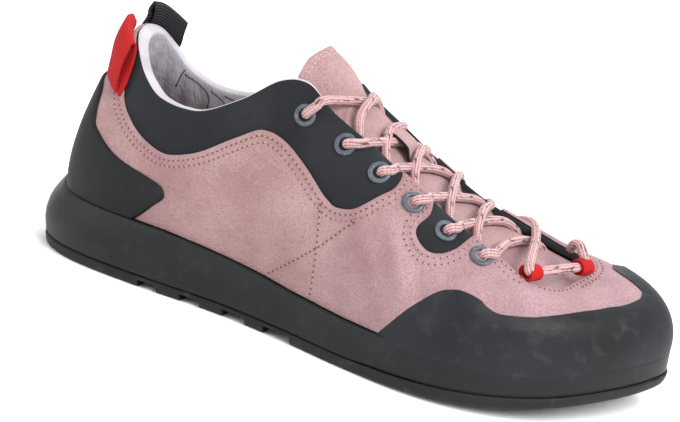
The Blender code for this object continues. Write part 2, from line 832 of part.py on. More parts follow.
def tread_cutter(tools):
    """The grooves of the tread: four across the arch, and chevrons under heel and ball."""
    mesh = bmesh.new()
    for start, end in ARCH_GROOVES:
        groove_block(mesh, start * LENGTH, end * LENGTH, -BALL_WIDTH, BALL_WIDTH, 0)
    for along, half in CHEVRONS:
        start, end = along * LENGTH, along * LENGTH + CHEVRON_WIDTH
        rib, reach = 0.03 * BALL_WIDTH, half * BALL_WIDTH
        groove_block(mesh, start, end, rib, reach, math.radians(14))
        groove_block(mesh, start, end, -reach, -rib, math.radians(-14))
    return as_cutter(add_object("tread_cutter", mesh, None, tools))


def tongue_row(place):
    """Seven points across the tongue at a round: under each side of the throat, and
    arched between them."""
    under = -(WALL + 4 * GAP)
    sides = []
    for side in ("lateral", "medial"):
        turn = float(side_turns(place, side))
        sides.append(shell([turn] * 3, [0.84, 0.92, 1.0], under))
    start, end = sides[0][2], sides[1][2]
    span = np.linalg.norm(end - start)
    lean_in = (start - sides[0][1]) / np.linalg.norm(start - sides[0][1])
    lean_out = (end - sides[1][1]) / np.linalg.norm(end - sides[1][1])
    low, high = start + lean_in * span * 0.3, end + lean_out * span * 0.3
    arch = []
    for t in (0.25, 0.5, 0.75):
        first = (1 - t) ** 3 * start + 3 * t * (1 - t) ** 2 * low
        arch.append(first + 3 * t**2 * (1 - t) * high + t**3 * end)
    return np.array([*sides[0], *arch, *sides[1][::-1]])


def flap_row(row):
    """Nine points across the tongue's free top, arched over its half width."""
    along, high, half_width, back, fall = row
    base = float(midsole_top(np.array([along * LENGTH]))[0])
    points = []
    for t in (-1.0, -0.92, -0.82, -0.42, 0.0, 0.42, 0.82, 0.92, 1.0):
        x = along * LENGTH - back * LENGTH * t * t
        y = half_width * BALL_WIDTH * t + TONGUE_SHIFT
        points.append((x, y, base + (high - fall * t * t) * HEEL_RISE))
    return np.array(points)


def tongue_rows():
    """The tongue's outer face from under the vamp to its free top."""
    turns = np.linspace(0.468, 0.532, 9)
    front = shell(turns, np.full(9, 0.78), -(WALL + 5 * GAP))
    rows = [front]
    rows += [tongue_row(place) for place in TONGUE_PLACES]
    rows += [flap_row(row) for row in TONGUE_FLAP]
    return np.array(rows)


def grid_normals(grid):
    """Unit normals of a grid of points."""
    across = np.gradient(grid, axis=1)
    along = np.gradient(grid, axis=0)
    normals = np.cross(across, along)
    return normals / np.linalg.norm(normals, axis=2)[..., None]


def thick_sheet(grid, thickness):
    """A bmesh of a sheet whose outer face is a grid of points. Its normals point out
    where the first axis of the grid runs up and the second to the left."""
    return sheet_loft(grid, grid - grid_normals(grid) * np.asarray(thickness)[..., None])


def build_tongue(shoe, material):
    """The padded suede tongue, thicker towards its free top."""
    rows = tongue_rows()
    share = np.linspace(0, 1, len(rows))[:, None] ** 2
    across = np.linspace(-1, 1, rows.shape[1])
    thickness = (TONGUE + (TONGUE_TOP - TONGUE) * share) * (1 - 0.75 * np.abs(across) ** 1.3)
    thickness[-2:] *= np.array([[0.75], [0.4]])
    return add_object("tongue", thick_sheet(rows, thickness), material, shoe)


def over_tongue(place, across, lift):
    """A point off the tongue's face, across from 0 at its lateral edge of the throat
    to 1. Its lift is square to the slope of the tongue there."""
    places = -np.array(TONGUE_PLACES + FLAP_PLACES)
    shares = np.linspace(0, 1, 5)
    crossed = [[np.interp(across, shares, row[:, k]) for k in range(3)] for row in tongue_rows()[1:, 2:7]]
    low, point, high = [
        np.array([np.interp(-spot, places, np.array(crossed)[:, k]) for k in range(3)])
        for spot in (place + 0.02, place, place - 0.02)
    ]
    square = np.array([high[2] - low[2], 0, low[0] - high[0]])
    return point + square / np.linalg.norm(square) * lift


def eyelet_place(index, side):
    """Centre and axis of an eyelet on the surface that it is set in."""
    place, rise, on_suede = EYELETS[index][:3]
    turn = side_turns([place], side)
    lift = on_suede * SUEDE_OUTER
    return shell(turn, [rise], lift)[0], skin_normal(turn, [rise])[0]


def aligned(centre, axis):
    """A transform that takes +Z to an axis and the origin to a centre."""
    turn = Vector((0, 0, 1)).rotation_difference(Vector(axis)).to_matrix().to_4x4()
    return Matrix.Translation(Vector(placed([centre])[0])) @ turn


def build_eyelets(shoe, material):
    """Metal eyelets, each a flanged ring turned round its own axis."""
    seat = 2 * GAP
    bore, barrel = EYELET_BORE, EYELET_BORE + EYELET_WALL
    profile = (
        (barrel, seat),
        (barrel, -(WALL + GAP)),
        (bore, -(WALL + GAP)),
        (bore, seat + EYELET_HEAD),
        (EYELET_RADIUS - 0.0009, seat + EYELET_HEAD),
        (EYELET_RADIUS, seat),
    )
    data = bpy.data.meshes.new("eyelet")
    edges = [(i, (i + 1) % len(profile)) for i in range(len(profile))]
    data.from_pydata([(x, 0, z) for x, z in profile], edges, [])
    data.materials.append(material)
    for side in ("lateral", "medial"):
        for index in range(len(EYELETS)):
            item = bpy.data.objects.new(f"eyelet_{side}_{index + 1}", data)
            item.matrix_world = aligned(*eyelet_place(index, side))
            screw = item.modifiers.new("turn", "SCREW")
            screw.steps = screw.render_steps = EYELET_SIDES
            screw.use_merge_vertices = True
            screw.merge_threshold = 0.00001
            shoe.objects.link(item)


def lace_holes(tools):
    """One cutter with a round pin through the upper at each eyelet."""
    mesh = bmesh.new()
    radius = EYELET_BORE + EYELET_WALL + GAP
    for side in ("lateral", "medial"):
        for index in range(len(EYELETS)):
            centre, axis = eyelet_place(index, side)
            bmesh.ops.create_cone(
                mesh,
                cap_ends=True,
                segments=EYELET_SIDES,
                radius1=radius,
                radius2=radius,
                depth=6 * WALL,
                matrix=aligned(centre, axis),
            )
    return as_cutter(add_object("lace_holes", mesh, None, tools))


def tube(name, points, diameter, collection, material):
    """A round cord through a list of points, as one welded mesh."""
    curve = bpy.data.curves.new(name, "CURVE")
    curve.dimensions = "3D"
    curve.bevel_depth = diameter / 2
    curve.bevel_resolution = 1
    curve.use_fill_caps = True
    spline = curve.splines.new("POLY")
    spline.points.add(len(points) - 1)
    for spot, point in zip(spline.points, placed(points)):
        spot.co = (*point, 1)
    guide = bpy.data.objects.new(name + "_guide", curve)
    collection.objects.link(guide)
    depsgraph = bpy.context.evaluated_depsgraph_get()
    data = bpy.data.meshes.new_from_object(guide.evaluated_get(depsgraph))
    bpy.data.objects.remove(guide, do_unlink=True)
    mesh = bmesh.new()
    mesh.from_mesh(data)
    bpy.data.meshes.remove(data)
    bmesh.ops.remove_doubles(mesh, verts=mesh.verts, dist=0.00001)
    return add_object(name, mesh, material, collection)


def lace_run(index, side):
    """A lace from beside one eyelet, over its edge of the throat, and down across the
    tongue to the other edge."""
    place, rise, on_suede, lace_lift = EYELETS[index][:4]
    near, far = [column(EYELETS, EYELET_COLUMNS, f"{side}_{end}")[index] for end in ("near", "far")]
    clear = LACE / 2 + 2 * GAP
    turn = side_turns([near], side)
    outer = clear + on_suede * SUEDE_OUTER
    points = [shell(side_turns([0.4 * place + 0.6 * near], side), [0.3 * rise + 0.7], outer)[0]]
    points.append(shell(turn, [1.0], 0.8 * outer)[0] + (0, 0, 0.8 * outer))
    points.append(shell(turn, [1.0], -WALL / 2)[0] + (0, 0, 0.4 * clear + 0.6 * outer + 4 * GAP))
    lift = clear + GAP + lace_lift * LACE
    reach = 0.78 if side == "medial" or index == 0 else 0.56
    for across in np.linspace(0.24, reach, 4):
        share = across if side == "lateral" else 1 - across
        spot = near + (far - near) * across**0.7
        points.append(over_tongue(spot, share, lift))
    return np.array(points)


def build_laces(shoe, tools, material):
    """The lace's crossings over the tongue, each two runs joined where they cross."""
    for index in range(len(EYELETS)):
        first = tube(f"lace_crossing_{index + 1}", lace_run(index, "medial"), LACE, shoe, material)
        second = tube(f"lace_under_{index + 1}", lace_run(index, "lateral"), LACE, tools, material)
        combine(first, as_cutter(second), "UNION")


def bar_point(share):
    """A point on the middle line of the lace bar, at a share of its length."""
    turns = column(BAR_ENDS, BAR_COLUMNS, "turn")
    start, end = shell(turns, [1.0, 1.0], 0.0)
    inward = (end - start) / np.linalg.norm(end - start) * LACE
    ins, lifts = [column(BAR_ENDS, BAR_COLUMNS, name) for name in ("inward", "lift")]
    start = start + inward * ins[0] + (0, 0, LACE * lifts[0])
    end = end - inward * ins[1] + (0, 0, LACE * lifts[1])
    return start + (end - start) * share


def build_bar(shoe, material):
    """The lace bar that runs through both red loops at the throat's front."""
    points = np.array([bar_point(share) for share in (-0.1, 0.5, 1.1)])
    tube("lace_bar", points, LACE, shoe, material)


def build_lace_loop(name, share, shoe, material):
    """A short red band round the lace bar, at a share of its length."""
    centre = bar_point(share)
    axis = bar_point(share + 0.1) - bar_point(share - 0.1)
    axis /= np.linalg.norm(axis)
    side = np.cross(axis, (0, 0, 1))
    side /= np.linalg.norm(side)
    up = np.cross(side, axis)
    inner = LACE / 2 + GAP
    rings = []
    for radius, end in ((1, -1), (1, 1), (0, 1), (0, -1)):
        reach = inner + TAG_LACE_LOOP * radius
        angles = np.linspace(0, 2 * math.pi, 12, endpoint=False)[:, None]
        oval = side * np.cos(angles) * (reach + 0.0006) + up * np.sin(angles) * reach
        rings.append(centre + axis * LOOP_WIDTH / 2 * end + oval)
    add_object(name, ring_loft(rings, closed=True), material, shoe)


def build_keeper(shoe, material):
    """The suede bridge on the tongue that the second crossing runs through."""
    rows = []
    for place, lift in KEEPER_PATH[::-1]:
        middle = 0.58
        half = KEEPER_WIDTH / 2
        centre = over_tongue(place, middle, lift * KEEPER_HEIGHT + GAP)
        rows.append([centre + (0, half * t, 0) for t in (-1, 0, 1)])
    strap = thick_sheet(np.array(rows), -np.full((len(rows), 3), KEEPER))
    return add_object("tongue_keeper", strap, material, shoe)


def webbing_loop(name, table, reach, material, shoe):
    """A folded band outside the collar, from its outer foot over the fold to its
    inner foot, which lies on the suede."""
    seat = SUEDE_OUTER + GAP
    edges = []
    for edge in ("back", "front"):
        turns = column(table, BAND_COLUMNS, edge)
        outs = seat + reach * column(table, BAND_COLUMNS, edge + "_out")
        edges.append((turns, outs, reach * column(table, BAND_COLUMNS, edge + "_up")))
    rows = []
    for share in np.linspace(0, 1, 6):
        turns, outs, ups = [first + (second - first) * share for first, second in zip(*edges)]
        row = shell(turns % 1.0, column(table, BAND_COLUMNS, "rise"), outs[:, None])
        rows.append(row + ups[:, None] * (0, 0, 1))
    grid = np.array(rows).transpose(1, 0, 2)
    if edges[1][0][0] < edges[0][0][0]:
        grid = grid[:, ::-1]
    return add_object(name, thick_sheet(grid, np.full(grid.shape[:2], WEBBING)), material, shoe)


def main():
    shoe, tools = start_scene()
    softshell = principled("softshell", (0.035, 0.037, 0.040), 0.85)
    rubber = principled("rubber", (0.022, 0.023, 0.025), 0.6)
    suede = principled("suede", (0.52, 0.30, 0.31), 0.95)
    lining = principled("lining", (0.55, 0.53, 0.56), 0.9)
    metal = principled("eyelet_metal", (0.12, 0.14, 0.17), 0.45, 0.6)
    lace = principled("lace", (0.60, 0.34, 0.34), 0.8)
    red = principled("red_webbing", (0.75, 0.02, 0.03), 0.7)
    black = principled("black_webbing", (0.02, 0.02, 0.022), 0.8)

    holes = lace_holes(tools)
    combine(build_upper(shoe, softshell), holes, "DIFFERENCE")
    combine(build_suede(shoe, suede), holes, "DIFFERENCE")
    build_counter(shoe, rubber)
    build_rand(shoe, rubber)
    build_midsole(shoe, tools, rubber)
    build_outsole(shoe, tools, rubber)
    build_insole(shoe, lining)
    build_tongue(shoe, suede)
    build_keeper(shoe, suede)
    build_eyelets(shoe, metal)
    build_laces(shoe, tools, lace)
    build_bar(shoe, lace)
    build_lace_loop("lace_loop_lateral", 0.0, shoe, red)
    build_lace_loop("lace_loop_medial", 1.0, shoe, red)
    webbing_loop("heel_tag", HEEL_TAG, TAG_REACH, red, shoe)
    webbing_loop("pull_loop", PULL_LOOP, PULL_REACH, black, shoe)


main()
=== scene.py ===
"""A worn-in look for one low approach shoe, right foot, empty, seen from its outer side."""

import math

import bmesh
import bpy
import numpy as np
from mathutils import Matrix, Vector
from mathutils.geometry import delaunay_2d_cdt
from mathutils.kdtree import KDTree


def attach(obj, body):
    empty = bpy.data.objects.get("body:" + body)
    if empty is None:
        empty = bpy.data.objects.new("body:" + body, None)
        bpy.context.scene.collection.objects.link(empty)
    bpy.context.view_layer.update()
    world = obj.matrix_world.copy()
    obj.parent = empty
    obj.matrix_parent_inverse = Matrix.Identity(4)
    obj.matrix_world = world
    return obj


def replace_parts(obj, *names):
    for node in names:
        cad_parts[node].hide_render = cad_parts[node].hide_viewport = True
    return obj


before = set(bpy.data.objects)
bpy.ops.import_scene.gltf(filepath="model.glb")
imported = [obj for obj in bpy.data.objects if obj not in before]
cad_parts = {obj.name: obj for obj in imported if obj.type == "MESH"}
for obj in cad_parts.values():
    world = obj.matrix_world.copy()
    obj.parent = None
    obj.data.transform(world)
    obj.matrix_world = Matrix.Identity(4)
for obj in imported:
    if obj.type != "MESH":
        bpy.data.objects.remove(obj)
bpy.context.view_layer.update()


# ---------------------------------------------------------------------------
# Camera, floor and lights: the photo's view from the outer side, a little above
# and towards the toe, rolled, over a pale floor in soft even light.

AZIMUTH, ELEVATION, ROLL = (math.radians(a) for a in (22.141, 16.63, 10.611))
DISTANCE = 0.600
AIM = Vector((0, 0, 0.045))

back = Vector(
    (
        math.sin(AZIMUTH) * math.cos(ELEVATION),
        -math.cos(AZIMUTH) * math.cos(ELEVATION),
        math.sin(ELEVATION),
    )
)
camera_data = bpy.data.cameras.new("camera")
camera = bpy.data.objects.new("camera", camera_data)
bpy.context.scene.collection.objects.link(camera)
bpy.context.scene.camera = camera
camera.rotation_mode = "QUATERNION"
camera.location = AIM + back * DISTANCE
camera.rotation_quaternion = (
    (-back).to_track_quat("-Z", "Y") @ Matrix.Rotation(ROLL, 4, "Z").to_quaternion()
)
camera_data.sensor_width = 36
camera_data.lens = 79.2
camera_data.shift_x = -0.0116
camera_data.shift_y = 0.0049
camera_data.clip_start = 0.05
camera_data.clip_end = 20

bpy.context.scene.view_settings.view_transform = "Standard"

floor_mesh = bpy.data.meshes.new("floor")
floor_mesh.from_pydata(
    [(-4, -4, 0), (4, -4, 0), (4, 4, 0), (-4, 4, 0)], [], [(0, 1, 2, 3)]
)
floor = bpy.data.objects.new("floor", floor_mesh)
floor_material = bpy.data.materials.new("floor")
floor_material.use_nodes = True
paint = floor_material.node_tree.nodes["Principled BSDF"]
paint.inputs["Base Color"].default_value = (0.93, 0.93, 0.94, 1)
paint.inputs["Roughness"].default_value = 0.9
floor_mesh.materials.append(floor_material)
bpy.context.scene.collection.objects.link(floor)

world = bpy.data.worlds.new("studio")
bpy.context.scene.world = world
world.use_nodes = True
world.node_tree.nodes["Background"].inputs["Color"].default_value = (1, 1, 1, 1)
world.node_tree.nodes["Background"].inputs["Strength"].default_value = 0.85

# Each light's name, place, size in metres and power in watts.
LIGHTS = (
    ("key", (0.95, -0.50, 0.95), 0.8, 24.0),
    ("fill", (-0.9, -0.7, 0.6), 0.8, 5.0),
    ("rim", (-0.2, 0.9, 0.9), 0.8, 9.0),
)
for name, place, size, power in LIGHTS:
    light = bpy.data.lights.new(name, "AREA")
    light.size = size
    light.energy = power
    lamp = bpy.data.objects.new(name, light)
    lamp.location = place
    lamp.rotation_euler = (AIM - Vector(place)).to_track_quat("-Z", "Y").to_euler()
    bpy.context.scene.collection.objects.link(lamp)


# ---------------------------------------------------------------------------
# Upper: a charcoal softshell body over foam, its collar padded and lined with pale
# knit that rolls over the edge. The last's shape is set by the tables below: a turn
# goes once round the sole from the heel's middle, a rise from the sole to the edge.

LENGTH = 0.270
BALL_WIDTH = 0.097
HEEL_RISE = 0.0715
TOE_SPRING = 0.0115
OUTSOLE = 0.0047
MIDSOLE = 0.0213
HEEL_KICK = 0.0023
SOLE_LEDGE = 0.0040
WALL = 0.0026
GAP = 0.0003
SPRING_START = 0.556
LEVEL_SHARE = 0.08

# Outline of the sole: shares of the length from the heel, and of the ball width
# from the middle line, lateral side first and then back along the medial side.
OUTLINE_LATERAL = (
    (0.000, 0.000),
    (0.012, -0.135),
    (0.046, -0.262),
    (0.112, -0.340),
    (0.225, -0.367),
    (0.370, -0.367),
    (0.480, -0.402),
    (0.590, -0.462),
    (0.685, -0.499),
    (0.755, -0.494),
    (0.825, -0.442),
    (0.890, -0.335),
    (0.945, -0.160),
    (0.983, 0.015),
    (1.000, 0.165),
)
OUTLINE_MEDIAL = (
    (1.000, 0.165),
    (0.990, 0.288),
    (0.955, 0.392),
    (0.900, 0.458),
    (0.825, 0.496),
    (0.755, 0.497),
    (0.685, 0.464),
    (0.610, 0.395),
    (0.520, 0.312),
    (0.408, 0.280),
    (0.296, 0.304),
    (0.185, 0.340),
    (0.092, 0.320),
    (0.037, 0.237),
    (0.008, 0.114),
    (0.000, 0.000),
)

# Height of the midsole over the outsole, and how far its top edge steps in from
# the outline: shares of MIDSOLE and of the ball width, by share of the length.
SOLE_COLUMNS = ("along", "height", "step_in")
SOLE_SECTIONS = (
    (0.00, 1.025, 0.067),
    (0.06, 1.000, 0.045),
    (0.14, 1.000, 0.026),
    (0.26, 0.985, 0.021),
    (0.34, 0.900, 0.021),
    (0.44, 0.780, 0.021),
    (0.49, 0.695, 0.020),
    (0.57, 0.640, 0.016),
    (0.64, 0.605, 0.010),
    (0.74, 0.490, 0.004),
    (0.85, 0.420, 0.003),
    (1.00, 0.395, 0.003),
)

# The upper's edge, round the collar and down the throat. Rounds are shares of the
# way from the heel's middle to the toe's tip along the sole; along and across are
# shares of the length and ball width, high is a share of HEEL_RISE over the sole.
EDGE_COLUMNS = ("round", "along", "across", "high")
EDGE_LATERAL = (
    (0.00, 0.117, 0.000, 1.000),
    (0.04, 0.122, -0.088, 0.972),
    (0.09, 0.139, -0.150, 0.888),
    (0.15, 0.170, -0.206, 0.769),
    (0.22, 0.215, -0.263, 0.695),
    (0.30, 0.285, -0.307, 0.713),
    (0.37, 0.354, -0.314, 0.877),
    (0.43, 0.406, -0.289, 1.053),
    (0.48, 0.444, -0.268, 1.098),
    (0.53, 0.487, -0.258, 0.997),
    (0.58, 0.544, -0.253, 0.901),
    (0.63, 0.611, -0.247, 0.779),
    (0.69, 0.691, -0.242, 0.631),
    (0.75, 0.757, -0.247, 0.502),
    (0.82, 0.811, -0.242, 0.378),
    (0.89, 0.844, -0.149, 0.316),
    (0.95, 0.857, -0.031, 0.317),
)
EDGE_MEDIAL = (
    (0.04, 0.122, 0.088, 0.972),
    (0.09, 0.139, 0.153, 0.881),
    (0.15, 0.167, 0.211, 0.755),
    (0.22, 0.211, 0.263, 0.678),
    (0.30, 0.278, 0.294, 0.703),
    (0.37, 0.344, 0.300, 0.855),
    (0.43, 0.398, 0.268, 0.993),
    (0.48, 0.441, 0.232, 1.040),
    (0.53, 0.485, 0.196, 0.973),
    (0.58, 0.541, 0.175, 0.882),
    (0.63, 0.604, 0.170, 0.756),
    (0.69, 0.678, 0.175, 0.632),
    (0.75, 0.744, 0.191, 0.545),
    (0.82, 0.802, 0.206, 0.460),
    (0.89, 0.839, 0.196, 0.397),
    (0.95, 0.858, 0.149, 0.359),
    (1.00, 0.865, 0.072, 0.337),
)

# How each rib of the upper bulges between sole and edge: rise and drop are shares
# of its height, roof a share of its reach inwards, belly a share of the ball width.
# The medial side falls away from the throat by its own drop.
RIB_COLUMNS = ("round", "rise", "belly", "drop", "roof", "medial_drop")
RIBS = (
    (0.00, 0.35, 0.020, 0.25, 0.48, 0.25),
    (0.09, 0.38, 0.030, 0.25, 0.30, 0.25),
    (0.22, 0.42, 0.042, 0.30, 0.00, 0.30),
    (0.37, 0.45, 0.040, 0.30, 0.00, 0.30),
    (0.48, 0.45, 0.030, 0.25, 0.15, 0.30),
    (0.58, 0.48, 0.022, 0.14, 0.50, 0.30),
    (0.69, 0.50, 0.012, 0.12, 0.55, 0.28),
    (0.80, 0.55, 0.010, 0.08, 0.58, 0.16),
    (0.90, 0.60, 0.012, 0.03, 0.60, 0.06),
    (1.00, 0.62, 0.014, 0.02, 0.60, 0.02),
)


def column(rows, columns, name):
    """One named column of a table."""
    return np.array([row[columns.index(name)] for row in rows], float)


def loop_value(knots, values, at):
    """A smooth closed curve through values at knots from 0 to 1, read at the shares at."""
    knots = np.asarray(knots, float)
    values = np.asarray(values, float)
    long_knots = np.concatenate([knots[-2:] - 1, knots, knots[:2] + 1])
    long_values = np.concatenate([values[-2:], values, values[:2]])
    slopes = (long_values[2:] - long_values[:-2]) / (long_knots[2:] - long_knots[:-2])[:, None]
    inner = long_knots[1:-1]
    at = np.asarray(at, float) % 1.0
    left = np.clip(np.searchsorted(inner, at, side="right") - 1, 0, len(inner) - 2)
    span = (inner[left + 1] - inner[left])[:, None]
    t = (at - inner[left])[:, None] / span
    start, end = long_values[1:-1][left], long_values[1:-1][left + 1]
    return (
        (2 * t**3 - 3 * t**2 + 1) * start
        + (t**3 - 2 * t**2 + t) * span * slopes[left]
        + (3 * t**2 - 2 * t**3) * end
        + (t**3 - t**2) * span * slopes[left + 1]
    )


def half_rounds(points):
    """Shares from 0 to 1 of the way along a row of points."""
    steps = np.linalg.norm(np.diff(points, axis=0), axis=1)
    return np.concatenate([[0.0], np.cumsum(steps)]) / steps.sum()


LATERAL_POINTS = np.array(OUTLINE_LATERAL) * (LENGTH, BALL_WIDTH)
MEDIAL_POINTS = np.array(OUTLINE_MEDIAL) * (LENGTH, BALL_WIDTH)
OUTLINE_KNOTS = np.concatenate(
    [half_rounds(LATERAL_POINTS)[:-1] / 2, 0.5 + half_rounds(MEDIAL_POINTS)[:-1] / 2]
)
OUTLINE_POINTS = np.concatenate([LATERAL_POINTS[:-1], MEDIAL_POINTS[:-1]])


def outline(turn):
    """The sole's outline and its outward normal at shares of a turn, heel to heel."""
    turn = np.atleast_1d(turn)
    step = 0.001
    points = loop_value(OUTLINE_KNOTS, OUTLINE_POINTS, turn)
    ahead = loop_value(OUTLINE_KNOTS, OUTLINE_POINTS, turn + step)
    behind = loop_value(OUTLINE_KNOTS, OUTLINE_POINTS, turn - step)
    along = ahead - behind
    normals = np.stack([along[:, 1], -along[:, 0]], axis=1)
    return points, normals / np.linalg.norm(normals, axis=1)[:, None]


def ground(along):
    """Height of the sole's underside over the floor, by distance from the heel."""
    share = np.clip((along / LENGTH - SPRING_START) / (1 - SPRING_START), 0, None)
    return TOE_SPRING * share**2


def groove(along):
    """Height of the line between outsole and midsole."""
    kick = np.clip(1 - along / (0.06 * LENGTH), 0, 1) ** 2
    return ground(along) + OUTSOLE + HEEL_KICK * kick


def sole_section(along, name):
    """A value of the sole's table, by distance from the heel."""
    places = column(SOLE_SECTIONS, SOLE_COLUMNS, "along") * LENGTH
    return np.interp(along, places, column(SOLE_SECTIONS, SOLE_COLUMNS, name))


def midsole_top(along):
    """Height of the midsole's upper edge."""
    return ground(along) + OUTSOLE + GAP + MIDSOLE * sole_section(along, "height")


def step_in(along):
    """How far the midsole's upper edge lies inside the outline."""
    return BALL_WIDTH * sole_section(along, "step_in")


def feather(turn):
    """The line where the upper meets the sole, and its outward normal."""
    points, normals = outline(turn)
    inset = step_in(points[:, 0]) + SOLE_LEDGE
    flat = points - normals * inset[:, None]
    height = midsole_top(flat[:, 0]) + GAP
    return np.column_stack([flat, height]), np.column_stack([normals, 0 * height])


def side_turns(rounds, side):
    """Shares of a turn for shares of the way from heel to toe on one side."""
    rounds = np.asarray(rounds, float)
    return rounds / 2 if side == "lateral" else 1 - rounds / 2


EDGE_KNOTS = np.concatenate(
    [
        side_turns(column(EDGE_LATERAL, EDGE_COLUMNS, "round"), "lateral"),
        side_turns(column(EDGE_MEDIAL, EDGE_COLUMNS, "round"), "medial")[::-1],
    ]
)
EDGE_VALUES = np.concatenate(
    [
        np.array([row[1:] for row in EDGE_LATERAL]),
        np.array([row[1:] for row in EDGE_MEDIAL])[::-1],
    ]
) * (LENGTH, BALL_WIDTH, HEEL_RISE)
RIB_KNOTS = np.concatenate(
    [
        column(RIBS, RIB_COLUMNS, "round") / 2,
        (1 - column(RIBS, RIB_COLUMNS, "round") / 2)[1:-1][::-1],
    ]
)
RIB_LATERAL = np.array([row[1:5] for row in RIBS])
RIB_MEDIAL = RIB_LATERAL.copy()
RIB_MEDIAL[:, 2] = column(RIBS, RIB_COLUMNS, "medial_drop")
RIB_VALUES = np.concatenate([RIB_LATERAL, RIB_MEDIAL[1:-1][::-1]])


def skin(turn, rise):
    """The upper's outer surface: a share of a turn, and a share from sole to edge.

    Below the sole line (a rise under 0) it goes straight down the sole's side.
    """
    turn = np.atleast_1d(np.asarray(turn, float))
    rise = np.atleast_1d(np.asarray(rise, float))
    foot, out = feather(turn)
    edge = loop_value(EDGE_KNOTS, EDGE_VALUES, turn)
    edge[:, 2] += foot[:, 2]
    ribs = loop_value(RIB_KNOTS, RIB_VALUES, turn)
    rib_rise, belly, drop, roof = ribs.T
    height = edge[:, 2] - foot[:, 2]
    inward = (foot - edge) * (1, 1, 0)
    up = np.array([0.0, 0.0, 1.0])
    low = foot + up * (rib_rise * height)[:, None] + out * (belly * BALL_WIDTH)[:, None]
    high = edge + inward * roof[:, None] - up * (drop * height)[:, None]
    high = high + out * (belly * BALL_WIDTH / 2)[:, None]
    t = np.clip(rise, 0, None)[:, None]
    above = (1 - t) ** 3 * foot + 3 * t * (1 - t) ** 2 * low
    above = above + 3 * t**2 * (1 - t) * high + t**3 * edge
    points, _ = outline(turn)
    depth = foot[:, 2] - groove(points[:, 0]) - GAP
    return above + up * (np.clip(rise, None, 0) * depth)[:, None]


def skin_normal(turn, rise):
    """Outward normal of the upper's surface."""
    turn = np.atleast_1d(np.asarray(turn, float))
    rise = np.atleast_1d(np.asarray(rise, float))
    step = 0.002
    across = skin(turn + step, rise) - skin(turn - step, rise)
    upward = skin(turn, rise + step) - skin(turn, rise - step)
    normals = np.cross(across, upward)
    normals[:, 2] *= np.clip(rise / LEVEL_SHARE, 0, 1)
    return normals / np.linalg.norm(normals, axis=1)[:, None]


def shell(turn, rise, offset):
    """The upper's surface moved out by an offset, or in by a negative one."""
    return skin(turn, rise) + skin_normal(turn, rise) * np.reshape(offset, (-1, 1))


def placed(points):
    """Points from the heel's frame into the shoe's, with the origin under the middle."""
    return np.asarray(points) - (LENGTH / 2, 0, 0)


def smooth_step(low, high, value):
    """0 below low, 1 above high, and a smooth rise between them."""
    t = np.clip((np.asarray(value, float) - low) / (high - low), 0, 1)
    return t * t * (3 - 2 * t)


def bump_at(middle, reach, value):
    """A smooth bump of height 1 at middle that ends reach away on each side."""
    t = np.clip(np.abs(np.asarray(value, float) - middle) / reach, 0, 1)
    return (1 - t * t) ** 2


def piece(name, points, faces, *materials, kinds=None, uvs=None):
    """A smooth-shaded mesh object from points in the heel's frame. kinds gives each
    face's material, uvs each point's u and v."""
    data = bpy.data.meshes.new(name)
    data.from_pydata([tuple(p) for p in placed(points)], [], [tuple(f) for f in faces])
    for material in materials:
        data.materials.append(material)
    if kinds is not None:
        data.polygons.foreach_set("material_index", np.asarray(kinds, np.int32))
    if uvs is not None:
        layer = data.uv_layers.new(name="UVMap")
        loops = np.zeros(len(data.loops), np.int32)
        data.loops.foreach_get("vertex_index", loops)
        layer.data.foreach_set("uv", np.asarray(uvs, np.float32)[loops].ravel())
    data.shade_smooth()
    data.update()
    item = bpy.data.objects.new(name, data)
    bpy.context.scene.collection.objects.link(item)
    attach(item, "root")
    return item


def grid_faces(rows, columns, closed_rows=False, closed_columns=False):
    """Faces of a grid of points stored row by row. A closed grid joins its last row
    or column to its first."""
    faces = []
    for i in range(rows if closed_rows else rows - 1):
        for j in range(columns if closed_columns else columns - 1):
            k, m = (i + 1) % rows, (j + 1) % columns
            faces.append(
                (i * columns + j, i * columns + m, k * columns + m, k * columns + j)
            )
    return faces


def outward(item):
    """Turns the faces of a closed or nearly closed piece to point outwards."""
    mesh = bmesh.new()
    mesh.from_mesh(item.data)
    bmesh.ops.recalc_face_normals(mesh, faces=mesh.faces)
    mesh.to_mesh(item.data)
    mesh.free()
    return item


